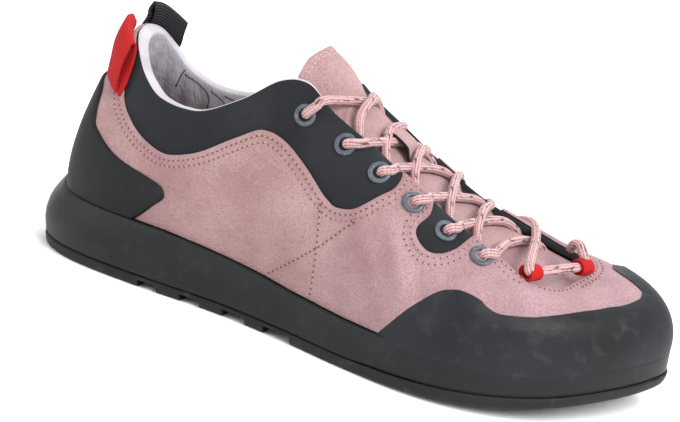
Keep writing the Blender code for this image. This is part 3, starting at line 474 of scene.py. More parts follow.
class Nodes:
    """Short words for building a material's node tree."""

    def __init__(self, tree):
        self.tree = tree
        self.shader = tree.nodes.get("Principled BSDF")

    def add(self, kind, values=None, **settings):
        """A node with its settings and its sockets' values, by name or number."""
        item = self.tree.nodes.new(kind)
        for key, value in settings.items():
            setattr(item, key, value)
        for key, value in (values or {}).items():
            if hasattr(value, "is_linked"):
                self.tree.links.new(value, item.inputs[key])
            else:
                item.inputs[key].default_value = value
        return item

    def maths(self, operation, *values):
        """The result of a Math node."""
        item = self.add("ShaderNodeMath", dict(enumerate(values)), operation=operation)
        return item.outputs[0]

    def mixed(self, share, first, second):
        """A mix of two colours."""
        values = {0: share, 6: first, 7: second}
        return self.add("ShaderNodeMix", values, data_type="RGBA").outputs[2]

    def grain(self, place, scale, detail, stretch=(1.0, 1.0, 1.0)):
        """The grain effect at a place, in features per metre."""
        values = {"Place": place, "Stretch": stretch, "Scale": scale, "Detail": detail}
        return self.add("ShaderNodeGroup", values, node_tree=GRAIN).outputs["Value"]

    def patches(self, place, scale, detail, low, high):
        """The patches effect at a place, from the noise's low level to its high one."""
        values = {"Place": place, "Scale": scale, "Detail": detail, "Low": low, "High": high}
        return self.add("ShaderNodeGroup", values, node_tree=PATCHES).outputs["Mask"]

    def ranged(self, value, low, high, to_low=0.0, to_high=1.0):
        """A value mapped from one range to another, clamped."""
        values = {0: value, 1: low, 2: high, 3: to_low, 4: to_high}
        return self.add("ShaderNodeMapRange", values).outputs[0]

    def bump(self, height, distance, strength):
        """A bumped normal, distance in metres."""
        values = {"Height": height, "Distance": distance, "Strength": strength}
        return self.add("ShaderNodeBump", values).outputs[0]

    def finish(self, **links):
        """Sets the shader's sockets, underscores standing for spaces."""
        for key, value in links.items():
            socket = self.shader.inputs[key.replace("_", " ")]
            if hasattr(value, "is_linked"):
                self.tree.links.new(value, socket)
            else:
                socket.default_value = value


def new_material(name):
    """A material, and the words for building its tree."""
    material = bpy.data.materials.new(name)
    material.use_nodes = True
    return material, Nodes(material.node_tree)


def effect(name, inputs, output):
    """An empty effect for use in many materials: its words for building and its inputs."""
    tree = bpy.data.node_groups.new(name, "ShaderNodeTree")
    for title in inputs:
        kind = "NodeSocketVector" if title in ("Place", "Stretch") else "NodeSocketFloat"
        tree.interface.new_socket(title, in_out="INPUT", socket_type=kind)
    tree.interface.new_socket(output, in_out="OUTPUT", socket_type="NodeSocketFloat")
    n = Nodes(tree)
    return n, n.add("NodeGroupInput").outputs


def grain_effect():
    """A fine random grain, drawn out along the axes where its stretch is small."""
    n, given = effect("grain", ("Place", "Stretch", "Scale", "Detail"), "Value")
    both = {0: given["Place"], 1: given["Stretch"]}
    drawn = n.add("ShaderNodeVectorMath", both, operation="MULTIPLY").outputs[0]
    values = {"Vector": drawn, "Scale": given["Scale"], "Detail": given["Detail"]}
    n.add("NodeGroupOutput", {"Value": n.add("ShaderNodeTexNoise", values).outputs["Fac"]})
    return n.tree


def patches_effect():
    """Soft-edged patches of dye, wear, dust or dirt, as a mask from 0 to 1."""
    n, given = effect("patches", ("Place", "Scale", "Detail", "Low", "High"), "Mask")
    values = {"Vector": given["Place"], "Scale": given["Scale"], "Detail": given["Detail"]}
    noise = n.add("ShaderNodeTexNoise", values).outputs["Fac"]
    n.add("NodeGroupOutput", {"Mask": n.ranged(noise, given["Low"], given["High"])})
    return n.tree


GRAIN = grain_effect()
PATCHES = patches_effect()


def rgb(hue, *rest):
    """A colour with full alpha."""
    return (hue, *rest, 1.0)


def softshell_material():
    """Charcoal softshell: a dense matt weave with a slightly uneven dye."""
    material, n = new_material("softshell")
    place = n.add("ShaderNodeTexCoord").outputs["Object"]
    cloud = n.patches(place, 45, 3, 0.35, 0.65)
    weave = n.grain(place, 2600, 1)
    lint = n.patches(place, 900, 2, 0.62, 0.75)
    base = n.mixed(cloud, rgb(0.012, 0.013, 0.015), rgb(0.019, 0.020, 0.023))
    base = n.mixed(n.maths("MULTIPLY", lint, 0.2), base, rgb(0.05, 0.05, 0.055))
    n.finish(
        Base_Color=base,
        Roughness=n.ranged(weave, 0.3, 0.7, 0.78, 0.95),
        Sheen_Weight=0.10,
        Sheen_Roughness=0.45,
        Sheen_Tint=rgb(0.55, 0.60, 0.66),
        Normal=n.bump(weave, 0.00035, 0.5),
    )
    n.shader.inputs["Specular IOR Level"].default_value = 0.15
    return material


def lining_material():
    """Pale knit lining with a fine vertical rib and soft wrinkles, painted darker low down inside
    the shoe as shade.
    """
    material, n = new_material("lining")
    place = n.add("ShaderNodeTexCoord").outputs["Object"]
    cloud = n.patches(place, 60, 3, 0.3, 0.7)
    rib = n.grain(place, 900, 1, (1.0, 1.0, 0.25))
    fold = n.grain(place, 140, 2, (1.0, 1.0, 0.15))
    base = n.mixed(cloud, rgb(0.34, 0.32, 0.35), rgb(0.48, 0.455, 0.49))
    # Painted shade: the knit turns dark purple-brown from 80 mm down to 50 mm inside the shoe.
    depth = n.add("ShaderNodeSeparateXYZ", {0: place}).outputs[2]
    base = n.mixed(n.ranged(depth, 0.080, 0.050), base, rgb(0.11, 0.07, 0.09))
    height = n.maths("ADD", n.maths("MULTIPLY", rib, 0.35), fold)
    n.finish(
        Base_Color=base,
        Roughness=0.9,
        Sheen_Weight=0.15,
        Normal=n.bump(height, 0.0018, 0.6),
    )
    return material


OUTLINE_SAMPLES = 2001


def dense_turns(count):
    """Shares of a turn at even distances along the sole's outline."""
    fine = np.linspace(0, 1, OUTLINE_SAMPLES)
    points, _ = outline(fine)
    steps = np.linalg.norm(np.diff(points, axis=0), axis=1)
    length = np.concatenate([[0], np.cumsum(steps)])
    return np.interp(np.linspace(0, length[-1], count, endpoint=False), length, fine)


def around(turn):
    """How far a turn is from the heel's middle, on either side, from 0 to 1 at the toe."""
    turn = np.asarray(turn, float) % 1.0
    return np.minimum(turn, 1 - turn) * 2


COLLAR_SWELL = 0.0005
SAG = 0.0006
FLEX_FOLD = 0.0007


def relief(turn, rise):
    """The upper's soft relief over its plain last: a swollen collar, a slow sag along
    the quarter and close folds where the forefoot bends."""
    far = around(turn)
    collar = COLLAR_SWELL * smooth_step(0.5, 0.8, rise) * (1 - smooth_step(0.42, 0.5, far))
    sag = SAG * np.sin(far * 41 + rise * 5)
    sag = sag * bump_at(0.45, 0.35, rise) * bump_at(0.36, 0.25, far)
    flex = FLEX_FOLD * np.sin(far * 130 + rise * 9)
    flex = flex * bump_at(0.62, 0.09, far) * bump_at(0.35, 0.3, rise)
    return collar + sag + flex


def surface(turn, rise, offset=0.0):
    """The upper's finished outer surface with its relief, moved out by an offset."""
    return shell(turn, rise, relief(turn, rise) + offset)


COLLAR_PAD = 0.0030
LINING_WRINKLE = 0.0005


def collar_pad(turn, rise):
    """How much thicker the lining's padding makes the wall inside the collar, with a
    few upright wrinkles behind the heel."""
    far = around(turn)
    soft = 1 - smooth_step(0.40, 0.50, far)
    wrinkle = LINING_WRINKLE * np.sin(far * 150 + 3 * rise) * (1 - smooth_step(0.15, 0.35, far))
    return COLLAR_PAD * soft * smooth_step(0.45, 0.85, rise) + wrinkle * bump_at(0.72, 0.26, rise)


SOFTSHELL = softshell_material()
LINING = lining_material()
UPPER_COLUMNS = 300
OUTER_LEVELS = 44
LINING_LEVELS = 34
BELOW_FEATHER = -0.02
ROLL_STEPS = 9
ROLL_HEIGHT = 0.35
LINED_TO = {"lateral": 0.515, "medial": 0.50}
UPPER_TURNS = dense_turns(UPPER_COLUMNS)
AT_EDGE = np.full(UPPER_COLUMNS, 1.0)

upper_rings = []
for share in np.linspace(BELOW_FEATHER, 1.0, OUTER_LEVELS):
    upper_rings.append(surface(UPPER_TURNS, np.full(UPPER_COLUMNS, share)))
half_wall = ((WALL + collar_pad(UPPER_TURNS, AT_EDGE)) / 2)[:, None]
brim = surface(UPPER_TURNS, AT_EDGE)
brim_out = skin_normal(UPPER_TURNS, AT_EDGE)
brim_up = brim - surface(UPPER_TURNS, 0.97 * AT_EDGE)
brim_up /= np.linalg.norm(brim_up, axis=1)[:, None]
for step in range(1, ROLL_STEPS + 1):
    angle = math.pi * step / (ROLL_STEPS + 1)
    inwards = brim_out * half_wall * (1 - math.cos(angle))
    upwards = brim_up * half_wall * ROLL_HEIGHT * math.sin(angle)
    upper_rings.append(brim - inwards + upwards)
for share in np.linspace(1.0, 0.0, LINING_LEVELS):
    rises = np.full(UPPER_COLUMNS, share)
    upper_rings.append(surface(UPPER_TURNS, rises, -WALL - collar_pad(UPPER_TURNS, rises)))

# The lining shows on the rolled edge round the collar, the softshell along the throat.
lined_edge = []
for turn in UPPER_TURNS:
    lined_edge.append(int(around(turn) < LINED_TO["lateral" if turn < 0.5 else "medial"]))
upper_kinds = [0] * UPPER_COLUMNS * OUTER_LEVELS + lined_edge * ROLL_STEPS
upper_kinds += [1] * UPPER_COLUMNS * (LINING_LEVELS - 1)
upper_faces = grid_faces(len(upper_rings), UPPER_COLUMNS, closed_columns=True)
upper = piece(
    "upper_body", np.concatenate(upper_rings), upper_faces, SOFTSHELL, LINING, kinds=upper_kinds
)
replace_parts(upper, "upper")


# ---------------------------------------------------------------------------
# Suede: one cut layer round the quarter, the throat and the vamp, 1.6 mm thick with
# raw edges, sewn down by a double row of pink thread and crossed by two single rows.

SUEDE_INNER = 0.0001
SUEDE_OUTER = 0.0017

# Rough lengths of a whole turn and of a whole rise, which lay the surface out flat.
PERIMETER = 0.640
HEIGHT = 0.060

# The suede's upper edge as rounds and rises, dipping under the collar and the third
# eyelet, with the numbers of its sharp corners.
SUEDE_TOP = (
    (0.000, 0.995),
    (0.078, 0.985),
    (0.092, 0.860),
    (0.118, 0.770),
    (0.145, 0.700),
    (0.212, 0.610),
    (0.260, 0.572),
    (0.300, 0.630),
    (0.357, 0.720),
    (0.397, 0.742),
    (0.420, 0.710),
    (0.453, 0.630),
    (0.498, 0.480),
    (0.512, 0.448),
    (0.527, 0.440),
    (0.558, 0.500),
    (0.600, 0.700),
    (0.617, 0.850),
    (0.625, 0.995),
    (0.664, 0.995),
    (0.655, 0.800),
    (0.637, 0.630),
    (0.638, 0.560),
    (0.652, 0.535),
    (0.670, 0.590),
    (0.688, 0.700),
    (0.702, 0.830),
    (0.717, 0.995),
    (1.000, 0.995),
)
SUEDE_CORNERS = (0, 1, 18, 19, 27, 28)


def rounded_line(points, corners=(), steps=8):
    """A smooth line through points, straight-ended at the corners' numbers."""
    points = np.asarray(points, float)
    last = len(points) - 1
    line = []
    for i in range(last):
        start, end = points[i], points[i + 1]
        before = points[i - 1] if i > 0 and i not in corners else start * 2 - end
        after = points[i + 2] if i + 2 <= last and i + 1 not in corners else end * 2 - start
        for t in np.arange(steps) / steps:
            a = 2 * start + (end - before) * t
            b = (2 * before - 5 * start + 4 * end - after) * t**2
            c = (3 * start - before - 3 * end + after) * t**3
            line.append((a + b + c) / 2)
    line.append(points[-1])
    return np.array(line)


def run_along(points):
    """The distance from the first point to each point of a line."""
    return np.concatenate([[0], np.cumsum(np.linalg.norm(np.diff(points, axis=0), axis=1))])


def even_line(points, pitch):
    """A line of turns and rises divided at even distances on the shoe."""
    points = np.asarray(points, float)
    fine = np.concatenate(
        [np.linspace(a, b, 12, endpoint=False) for a, b in zip(points, points[1:])] + [points[-1:]]
    )
    length = run_along(skin(fine[:, 0], fine[:, 1]))
    count = max(2, round(length[-1] / pitch) + 1)
    marks = np.linspace(0, length[-1], count)
    return np.column_stack([np.interp(marks, length, fine[:, k]) for k in (0, 1)])


def shifted_line(line, distance):
    """A line moved sideways on the shoe, to its left as seen from outside."""
    ahead = np.roll(line, -1, axis=0)
    behind = np.roll(line, 1, axis=0)
    ahead[-1], behind[0] = line[-1], line[0]
    turn, rise = line[:, 0], line[:, 1]
    step = 0.002
    across = (skin(turn + step, rise) - skin(turn - step, rise)) / (2 * step)
    upward = (skin(turn, rise + step) - skin(turn, rise - step)) / (2 * step)
    along = skin(ahead[:, 0], ahead[:, 1]) - skin(behind[:, 0], behind[:, 1])
    normal = np.cross(across, upward)
    side = np.cross(normal, along)
    side *= distance / np.maximum(np.linalg.norm(side, axis=1), 1e-12)[:, None]
    aa, ab, bb = (across**2).sum(1), (across * upward).sum(1), (upward**2).sum(1)
    pa, pb = (side * across).sum(1), (side * upward).sum(1)
    det = aa * bb - ab * ab
    move = np.column_stack([(pa * bb - pb * ab) / det, (pb * aa - pa * ab) / det])
    return line + move


def search_tree(spots):
    """A search tree over points in space."""
    tree = KDTree(len(spots))
    for i, spot in enumerate(spots):
        tree.insert(spot, i)
    tree.balance()
    return tree


def edge_tree(line):
    """A search tree over the points of a line on the shoe."""
    return search_tree(skin(line[:, 0], line[:, 1]))


def edge_distance(tree, points):
    """Each point's distance from the nearest point of a line on the shoe."""
    return np.array([tree.find(spot)[2] for spot in skin(points[:, 0], points[:, 1])])


def within(points, loop):
    """Whether each point lies inside a closed loop."""
    result = np.zeros(len(points), bool)
    ends = np.roll(loop, -1, axis=0)
    for (x0, y0), (x1, y1) in zip(loop, ends):
        if y0 != y1:
            crosses = (y0 > points[:, 1]) != (y1 > points[:, 1])
            side = x0 + (points[:, 1] - y0) * (x1 - x0) / (y1 - y0)
            result ^= crosses & (points[:, 0] < side)
    return result


CUT_PITCH = 0.0004
RIM_PITCH = 0.0008
RIM_CLEAR = 0.0002
WELD = 0.00005


def laid_panel(name, loop, cut, under, over, profile, spacing, material, welded=False):
    """A layer on the upper inside a closed loop of turns and rises. cut is the part of
    the loop that is a visible edge, profile pairs of a distance from it and a share of
    the thickness there, under and over the offsets of the layer's two faces."""
    reach, share = np.array(profile).T
    fine_cut = even_line(cut, CUT_PITCH)
    tree = edge_tree(fine_cut)
    scale = np.array([PERIMETER, HEIGHT])
    extra = []
    for distance in reach[1:]:
        ring = shifted_line(even_line(cut, max(RIM_PITCH, distance * 0.5)), distance)
        ring = ring[within(ring * scale, loop * scale)]
        if len(ring):
            ring = ring[edge_distance(tree, ring) > distance * 0.93]
            extra.append(ring)
    low, high = loop.min(0), loop.max(0)
    xs = np.arange(low[0], high[0], spacing / PERIMETER) + 0.3 * spacing / PERIMETER
    ys = np.arange(low[1], high[1], spacing / HEIGHT) + 0.4 * spacing / HEIGHT
    field = np.array([(x, y) for x in xs for y in ys])
    field = field[within(field * scale, loop * scale)]
    field = field[edge_distance(tree, field) > reach[-1] + spacing * 0.5]
    rim = edge_tree(even_line(np.vstack([loop, loop[:1]]), RIM_PITCH))
    field = field[edge_distance(rim, field) > spacing * 0.4]
    extra = [ring[edge_distance(rim, ring) > RIM_CLEAR] for ring in extra] + [field]
    flat = np.vstack([loop] + extra) * scale
    count = len(loop)
    ring = [(i, (i + 1) % count) for i in range(count)]
    outer = [list(range(count))]
    spots, _, faces, *_ = delaunay_2d_cdt([Vector(p) for p in flat], ring, outer, 1, 1e-7)
    places = np.array([spot[:] for spot in spots]) / scale
    near = edge_distance(tree, places)
    lift = under + (over - under) * np.interp(near, reach, share)
    points = surface(places[:, 0], places[:, 1], lift)
    item = piece(name, points, faces, material, uvs=places * scale)
    if welded:
        mesh = bmesh.new()
        mesh.from_mesh(item.data)
        bmesh.ops.remove_doubles(mesh, verts=mesh.verts, dist=WELD)
        mesh.to_mesh(item.data)
        mesh.free()
    return item, fine_cut


# A stitch's rings: their places along it in its lengths, then their sizes and their
# heights over its middle in its radii.
STITCH_SIDES = 6
ARCHED_STITCH = (
    (-0.50, 0.35, 0.0),
    (-0.42, 0.80, 0.0736),
    (-0.20, 1.00, 0.21),
    (0.20, 1.00, 0.21),
    (0.42, 0.80, 0.0736),
    (0.50, 0.35, 0.0),
)


def stitch_bars(centres, along, normals, rings, length, radius):
    """Points and faces of short round-ended bars, one at each of a row of centres."""
    points, faces = [], []
    for centre, ahead, normal in zip(centres, along, normals):
        beside = np.cross(normal, ahead)
        base = len(points)
        for place, swell, lift in rings:
            for k in range(STITCH_SIDES):
                angle = math.tau * k / STITCH_SIDES
                up = radius * (swell * math.sin(angle) + lift)
                out = radius * swell * math.cos(angle)
                points.append(centre + ahead * length * place + normal * up + beside * out)
        last = base + (len(rings) - 1) * STITCH_SIDES
        for low in range(base, last, STITCH_SIDES):
            for k in range(STITCH_SIDES):
                a, b = low + k, low + (k + 1) % STITCH_SIDES
                faces.append((a, b, b + STITCH_SIDES, a + STITCH_SIDES))
        faces.append(tuple(range(base + STITCH_SIDES - 1, base - 1, -1)))
        faces.append(tuple(range(last, last + STITCH_SIDES)))
    return points, faces


def stitch_row(line, pitch, length, radius, offset, sink=0.3):
    """Points and faces of the stitches along a line of turns and rises."""
    marks = even_line(line, pitch)
    centres = surface(marks[:, 0], marks[:, 1], offset - radius * sink)
    normals = skin_normal(marks[:, 0], marks[:, 1])
    along = np.gradient(centres, axis=0)
    along /= np.linalg.norm(along, axis=1)[:, None]
    return stitch_bars(centres, along, normals, ARCHED_STITCH, length, radius)


def stitches(name, rows, material):
    """One piece of many rows of stitches, or of dark marks painted as shade in needle holes, each
    a line and its pitch, length, radius and offset."""
    points, faces = [], []
    for row in rows:
        more, sides = stitch_row(*row)
        faces += [tuple(k + len(points) for k in face) for face in sides]
        points += more
    return piece(name, np.array(points), faces, material)


def suede_material(name="suede", paler=0.0):
    """Brushed suede: dusty pink, its nap mottled where it has been stroked both ways,
    rubbed paler over the toe and soiled a little along the sole."""
    material, n = new_material(name)
    place = n.add("ShaderNodeTexCoord").outputs["Object"]
    x, _, z = n.add("ShaderNodeSeparateXYZ", {0: place}).outputs[:3]
    stroke = n.patches(place, 38, 4, 0.32, 0.68)
    mottle = n.patches(place, 260, 3, 0.3, 0.7)
    nap = n.grain(place, 1500, 2)
    speck = n.patches(place, 1500, 2, 0.42, 0.66)
    heel = n.mixed(stroke, rgb(0.250, 0.142, 0.142), rgb(0.370, 0.248, 0.244))
    toe = n.mixed(stroke, rgb(0.250, 0.150, 0.168), rgb(0.370, 0.250, 0.275))
    base = n.mixed(n.ranged(x, -0.02, 0.09), heel, toe)
    base = n.mixed(n.maths("MULTIPLY", mottle, 0.25), base, rgb(0.42, 0.24, 0.24))
    base = n.mixed(paler, base, rgb(0.45, 0.29, 0.29))
    base = n.mixed(n.maths("MULTIPLY", speck, 0.42), base, rgb(0.16, 0.080, 0.085))
    grime = n.patches(place, 120, 3, 0.3, 0.8)
    grime = n.maths("MULTIPLY", n.ranged(z, 0.042, 0.024), grime)
    base = n.mixed(n.maths("MULTIPLY", grime, 0.35), base, rgb(0.20, 0.12, 0.11))
    height = n.maths("ADD", nap, n.maths("MULTIPLY", n.grain(place, 420, 2), 0.9))
    n.finish(
        Base_Color=base,
        Roughness=0.95,
        Sheen_Weight=0.25,
        Sheen_Roughness=0.5,
        Sheen_Tint=rgb(0.95, 0.72, 0.72),
        Normal=n.bump(height, 0.0008, 0.6),
    )
    n.shader.inputs["Specular IOR Level"].default_value = 0.15
    return material


def thread_material(name, colour):
    """Twisted polyester thread with a slight gloss."""
    material, n = new_material(name)
    place = n.add("ShaderNodeTexCoord").outputs["Object"]
    twist = n.grain(place, 4000, 1)
    dark = rgb(*(c * 0.6 for c in colour))
    n.finish(
        Base_Color=n.mixed(n.ranged(twist, 0.35, 0.65), dark, rgb(*colour)),
        Roughness=0.6,
        Normal=n.bump(twist, 0.0002, 0.5),
    )
    return material


def on_lateral(line):
    """A line of rounds and rises as turns on the lateral side."""
    return np.column_stack([line[:, 0] / 2, line[:, 1]])


def mirrored(line):
    """A line of rounds and rises from the lateral side, as turns on the medial side."""
    return np.column_stack([1 - line[:, 0] / 2, line[:, 1]])


EDGE_PITCH = 0.0012
SUEDE = suede_material()
THREAD = thread_material("pink_thread", (0.46, 0.245, 0.225))
# Painted shade: dark marks sunk between the stitches stand in for the shade inside the needle
# holes.
HOLE_SHADE = thread_material("needle_hole_shade", (0.10, 0.035, 0.035))

top_line = rounded_line(SUEDE_TOP, SUEDE_CORNERS)
lateral_top = even_line(on_lateral(top_line), EDGE_PITCH)
medial_top = even_line(mirrored(top_line), EDGE_PITCH)
whole_top = np.vstack([medial_top, lateral_top[-2::-1]])
bottom = np.column_stack([np.linspace(0, 1, 360), np.full(360, -0.01)])
# Distances in from the suede's cut edge, and the share of its thickness there: a raw
# rounded edge, then the furrows that the two seams press in.
SUEDE_PROFILE = (
    (0.0000, 0.05),
    (0.0003, 0.62),
    (0.0008, 0.95),
    (0.0014, 1.00),
    (0.0021, 0.84),
    (0.0034, 0.86),
    (0.0046, 0.82),
    (0.0060, 1.00),
)
suede, suede_edge = laid_panel(
    "suede_layer",
    np.vstack([bottom, whole_top[:-1]]),
    whole_top,
    SUEDE_INNER,
    SUEDE_OUTER,
    SUEDE_PROFILE,
    0.0021,
    SUEDE,
    welded=True,
)
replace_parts(suede, "suede")

SEAM_PITCH = 0.0023
STITCH_LENGTH, STITCH_RADIUS = 0.0014, 0.00030
HOLE_LENGTH, HOLE_RADIUS, HOLE_SINK = 0.0007, 0.00042, 0.35
EDGE_SEAMS = (0.0021, 0.0045)
SEAM_BREAK = 0.006
QUARTER_SEAMS = (
    ((0.503, 0.42), (0.498, 0.20), (0.494, 0.01)),
    ((0.556, 0.43), (0.504, 0.23), (0.428, 0.01)),
)
STITCH_OFFSET = SUEDE_INNER + (SUEDE_OUTER - SUEDE_INNER) * 0.84

suede_tree = edge_tree(suede_edge)
seam_lines = []
for distance in EDGE_SEAMS:
    for line, sign in ((lateral_top, -1), (medial_top, 1)):
        row = shifted_line(even_line(line, 0.0010), sign * distance)
        row = row[edge_distance(suede_tree, row) > distance * 0.95]
        steps = np.linalg.norm(np.diff(row * (PERIMETER, HEIGHT), axis=0), axis=1)
        for part in np.split(row, np.where(steps > SEAM_BREAK)[0] + 1):
            if len(part) > 6:
                seam_lines.append((part, STITCH_OFFSET))
for seam in QUARTER_SEAMS:
    seam = np.array(seam)
    seam_lines += [(on_lateral(seam), SUEDE_OUTER), (mirrored(seam), SUEDE_OUTER)]
rows = []
holes = []
for line, offset in seam_lines:
    rows.append((line, SEAM_PITCH, STITCH_LENGTH, STITCH_RADIUS, offset))
    marks = even_line(line, SEAM_PITCH)
    middles = (marks[1:] + marks[:-1]) / 2
    if len(middles) > 2:
        holes.append((middles, SEAM_PITCH, HOLE_LENGTH, HOLE_RADIUS, offset, HOLE_SINK))
stitches("suede_stitches", rows, THREAD)
# The needle holes' dark marks are painted shade.
stitches("suede_needle_holes", holes, HOLE_SHADE)


# ---------------------------------------------------------------------------
# Heel counter: black moulded rubber wrapped round the heel, its top edge peaked
# behind and its front end cut to a point, rounded all round.

RUBBER_OUTER = 0.0033

# The counter's edge as rounds and rises, from the sole up its front end and back over
# its top to the heel's middle.
COUNTER_FRONT = (
    (0.232, 0.000),
    (0.242, 0.050),
    (0.260, 0.150),
    (0.273, 0.225),
    (0.268, 0.300),
    (0.250, 0.335),
    (0.220, 0.360),
    (0.178, 0.390),
    (0.132, 0.440),
    (0.113, 0.460),
    (0.098, 0.520),
    (0.073, 0.620),
    (0.040, 0.636),
    (0.000, 0.640),
)
RUBBER_PROFILE = ((0, 0.05), (0.0002, 0.45), (0.0006, 0.78), (0.0011, 0.94), (0.0018, 1.0))


def rubber_material(name, dark, pale, rough, dust=0.15):
    """Matt black rubber with a bloom of paler blue-grey and a little dust."""
    material, n = new_material(name)
    place = n.add("ShaderNodeTexCoord").outputs["Object"]
    bloom = n.patches(place, 32, 4, 0.35, 0.7)
    scuff = n.patches(place, 180, 4, 0.55, 0.8)
    grain = n.grain(place, 2400, 1)
    brushed = n.grain(place, 700, 2, (0.35, 0.35, 1.0))
    base = n.mixed(bloom, rgb(*dark), rgb(*pale))
    base = n.mixed(n.maths("MULTIPLY", scuff, dust), base, rgb(0.060, 0.062, 0.066))
    dulled = n.maths("ADD", bloom, n.maths("MULTIPLY", scuff, 0.6))
    n.finish(
        Base_Color=base,
        Roughness=n.ranged(dulled, 0, 1.6, rough, rough + 0.2),
        Normal=n.bump(n.maths("ADD", grain, brushed), 0.00022, 0.4),
    )
    n.shader.inputs["Specular IOR Level"].default_value = 0.22
    return material


COUNTER_END = 0.116
PRESSED_IN = 0.0002
COUNTER_RUBBER = rubber_material(
    "counter_rubber", (0.004, 0.0042, 0.0048), (0.008, 0.0085, 0.0095), 0.55
)
counter_line = rounded_line(COUNTER_FRONT, (0, 13))
counter_lateral = even_line(on_lateral(counter_line), EDGE_PITCH)
counter_medial = np.column_stack([-counter_lateral[::-1, 0], counter_lateral[::-1, 1]])
counter_cut = np.vstack([counter_lateral, counter_medial[1:]])
counter_floor = np.linspace(-COUNTER_END, COUNTER_END, 110)[1:-1]
counter_bottom = np.column_stack([counter_floor, np.full(len(counter_floor), -0.01)])
counter, _ = laid_panel(
    "counter_wrap",
    np.vstack([counter_cut, counter_bottom]),
    counter_cut,
    SUEDE_OUTER - PRESSED_IN,
    RUBBER_OUTER - PRESSED_IN,
    RUBBER_PROFILE,
    0.0024,
    COUNTER_RUBBER,
)
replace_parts(counter, "heel_counter")


# ---------------------------------------------------------------------------
# Toe rand: thick blue-black rubber drawn round the toe from side to side, high over
# the big toe, its lower edge one with the sole.

# The rand's upper edge as rounds and rises, forward along the lateral side and back
# along the medial one, ending below the sole line.
RAND_LATERAL = (
    (0.575, -1.000),
    (0.598, 0.000),
    (0.620, 0.110),
    (0.640, 0.210),
    (0.667, 0.340),
    (0.680, 0.390),
    (0.698, 0.430),
    (0.720, 0.430),
    (0.730, 0.400),
    (0.748, 0.390),
    (0.788, 0.460),
    (0.822, 0.540),
    (0.867, 0.610),
    (0.913, 0.620),
    (0.947, 0.585),
    (0.983, 0.580),
)
RAND_MEDIAL = (
    (0.998, 0.610),
    (0.982, 0.760),
    (0.967, 0.840),
    (0.940, 0.840),
    (0.900, 0.740),
    (0.850, 0.600),
    (0.790, 0.490),
    (0.720, 0.430),
    (0.660, 0.340),
    (0.620, 0.130),
    (0.598, 0.000),
    (0.575, -1.000),
)
RAND_CORNERS = (0, 1, 15, 16, 26, 27)
RAND_RUBBER = rubber_material(
    "toe_rubber", (0.005, 0.0055, 0.007), (0.014, 0.016, 0.020), 0.46, 0.30
)
rand_points = [(place / 2, rise) for place, rise in RAND_LATERAL]
rand_points += [(1 - place / 2, rise) for place, rise in RAND_MEDIAL]
rand_cut = even_line(rounded_line(rand_points, RAND_CORNERS), EDGE_PITCH)
rand_end = RAND_LATERAL[0][0] / 2
rand_floor = np.linspace(1 - rand_end, rand_end, 200)[1:-1]
rand_bottom = np.column_stack([rand_floor, np.full(len(rand_floor), -1.0)])
rand, _ = laid_panel(
    "toe_wrap",
    np.vstack([rand_cut, rand_bottom]),
    rand_cut,
    SUEDE_OUTER - PRESSED_IN,
    RUBBER_OUTER,
    RUBBER_PROFILE,
    0.0024,
    RAND_RUBBER,
)
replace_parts(rand, "toe_rand")


# ---------------------------------------------------------------------------
# Midsole: satin black moulded foam, its side bulging at the heel and drawn in to a
# crisp lip under the suede, its toe hidden by the rand.

SOLE_TURNS = dense_turns(360)
MIDSOLE_LEVELS = (0.0, 0.02, 0.06, 0.14, 0.25, 0.38, 0.50)
MIDSOLE_LEVELS += (0.62, 0.74, 0.84, 0.92, 0.965, 0.99, 1.0)
MIDSOLE_DISH = (0.0022, 0.0040, 0.0068)
LIP = 0.0006
HEEL_BULGE = 0.0016
HEEL_LIP = 0.0042

MIDSOLE_FOAM = rubber_material(
    "midsole_foam", (0.006, 0.0065, 0.007), (0.011, 0.012, 0.013), 0.40, 0.16
)


def side_ring(level, turns, extra=0.0):
    """A ring of the midsole's side at a level from the groove, 0, to its lip, 1."""
    points, normals = outline(turns)
    under_rand = 0.0007 * smooth_step(0.570, 0.605, around(turns))
    lip = LIP * smooth_step(0.955, 1.0, level) + LIP * (1 - smooth_step(0.0, 0.05, level))
    bulge = HEEL_BULGE * (1 - smooth_step(0.16, 0.5, around(turns))) * bump_at(0.45, 0.5, level)
    inset = step_in(points[:, 0]) * level**2.3 + under_rand + lip + extra - bulge
    flat = points - normals * np.broadcast_to(inset, len(turns))[:, None]
    low = groove(points[:, 0]) + GAP
    high = midsole_top(flat[:, 0]) - PRESSED_IN
    high = high + HEEL_LIP * (1 - smooth_step(0.0, 0.095, around(turns)))
    return np.column_stack([flat, low + (high - low) * level])


def ringed_piece(name, rings, material):
    """A closed piece from rings round the sole, its first and last one filled from side
    to side."""
    count = len(SOLE_TURNS)
    half = count // 2
    faces = grid_faces(len(rings), count, closed_columns=True)
    top = (len(rings) - 1) * count
    for k in range(1, half - 1):
        strip = (k, k + 1, count - k - 1, count - k)
        faces.append(tuple(top + corner for corner in strip))
        faces.append(strip[::-1])
    for base in (0, top):
        faces.append((base, base + 1, base + count - 1))
        faces.append((base + half - 1, base + half, base + half + 1))
    return outward(piece(name, np.concatenate(rings), faces, material))


midsole_rings = [side_ring(level, SOLE_TURNS) for level in MIDSOLE_LEVELS]
for inset in MIDSOLE_DISH:
    midsole_rings.append(side_ring(1.0, SOLE_TURNS, inset) - (0, 0, GAP))
midsole = ringed_piece("midsole_body", midsole_rings, MIDSOLE_FOAM)
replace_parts(midsole, "midsole")


# ---------------------------------------------------------------------------
# Outsole: black rubber with a rounded rim, four broad grooves across the arch and
# chevron lugs under heel and ball, moulded in one sheet and glued on.

LUG_DEPTH = 0.0023
ARCH_DEPTH = 0.0033
CHEVRON_WIDTH = 0.0028
CHEVRON_SLANT = 14

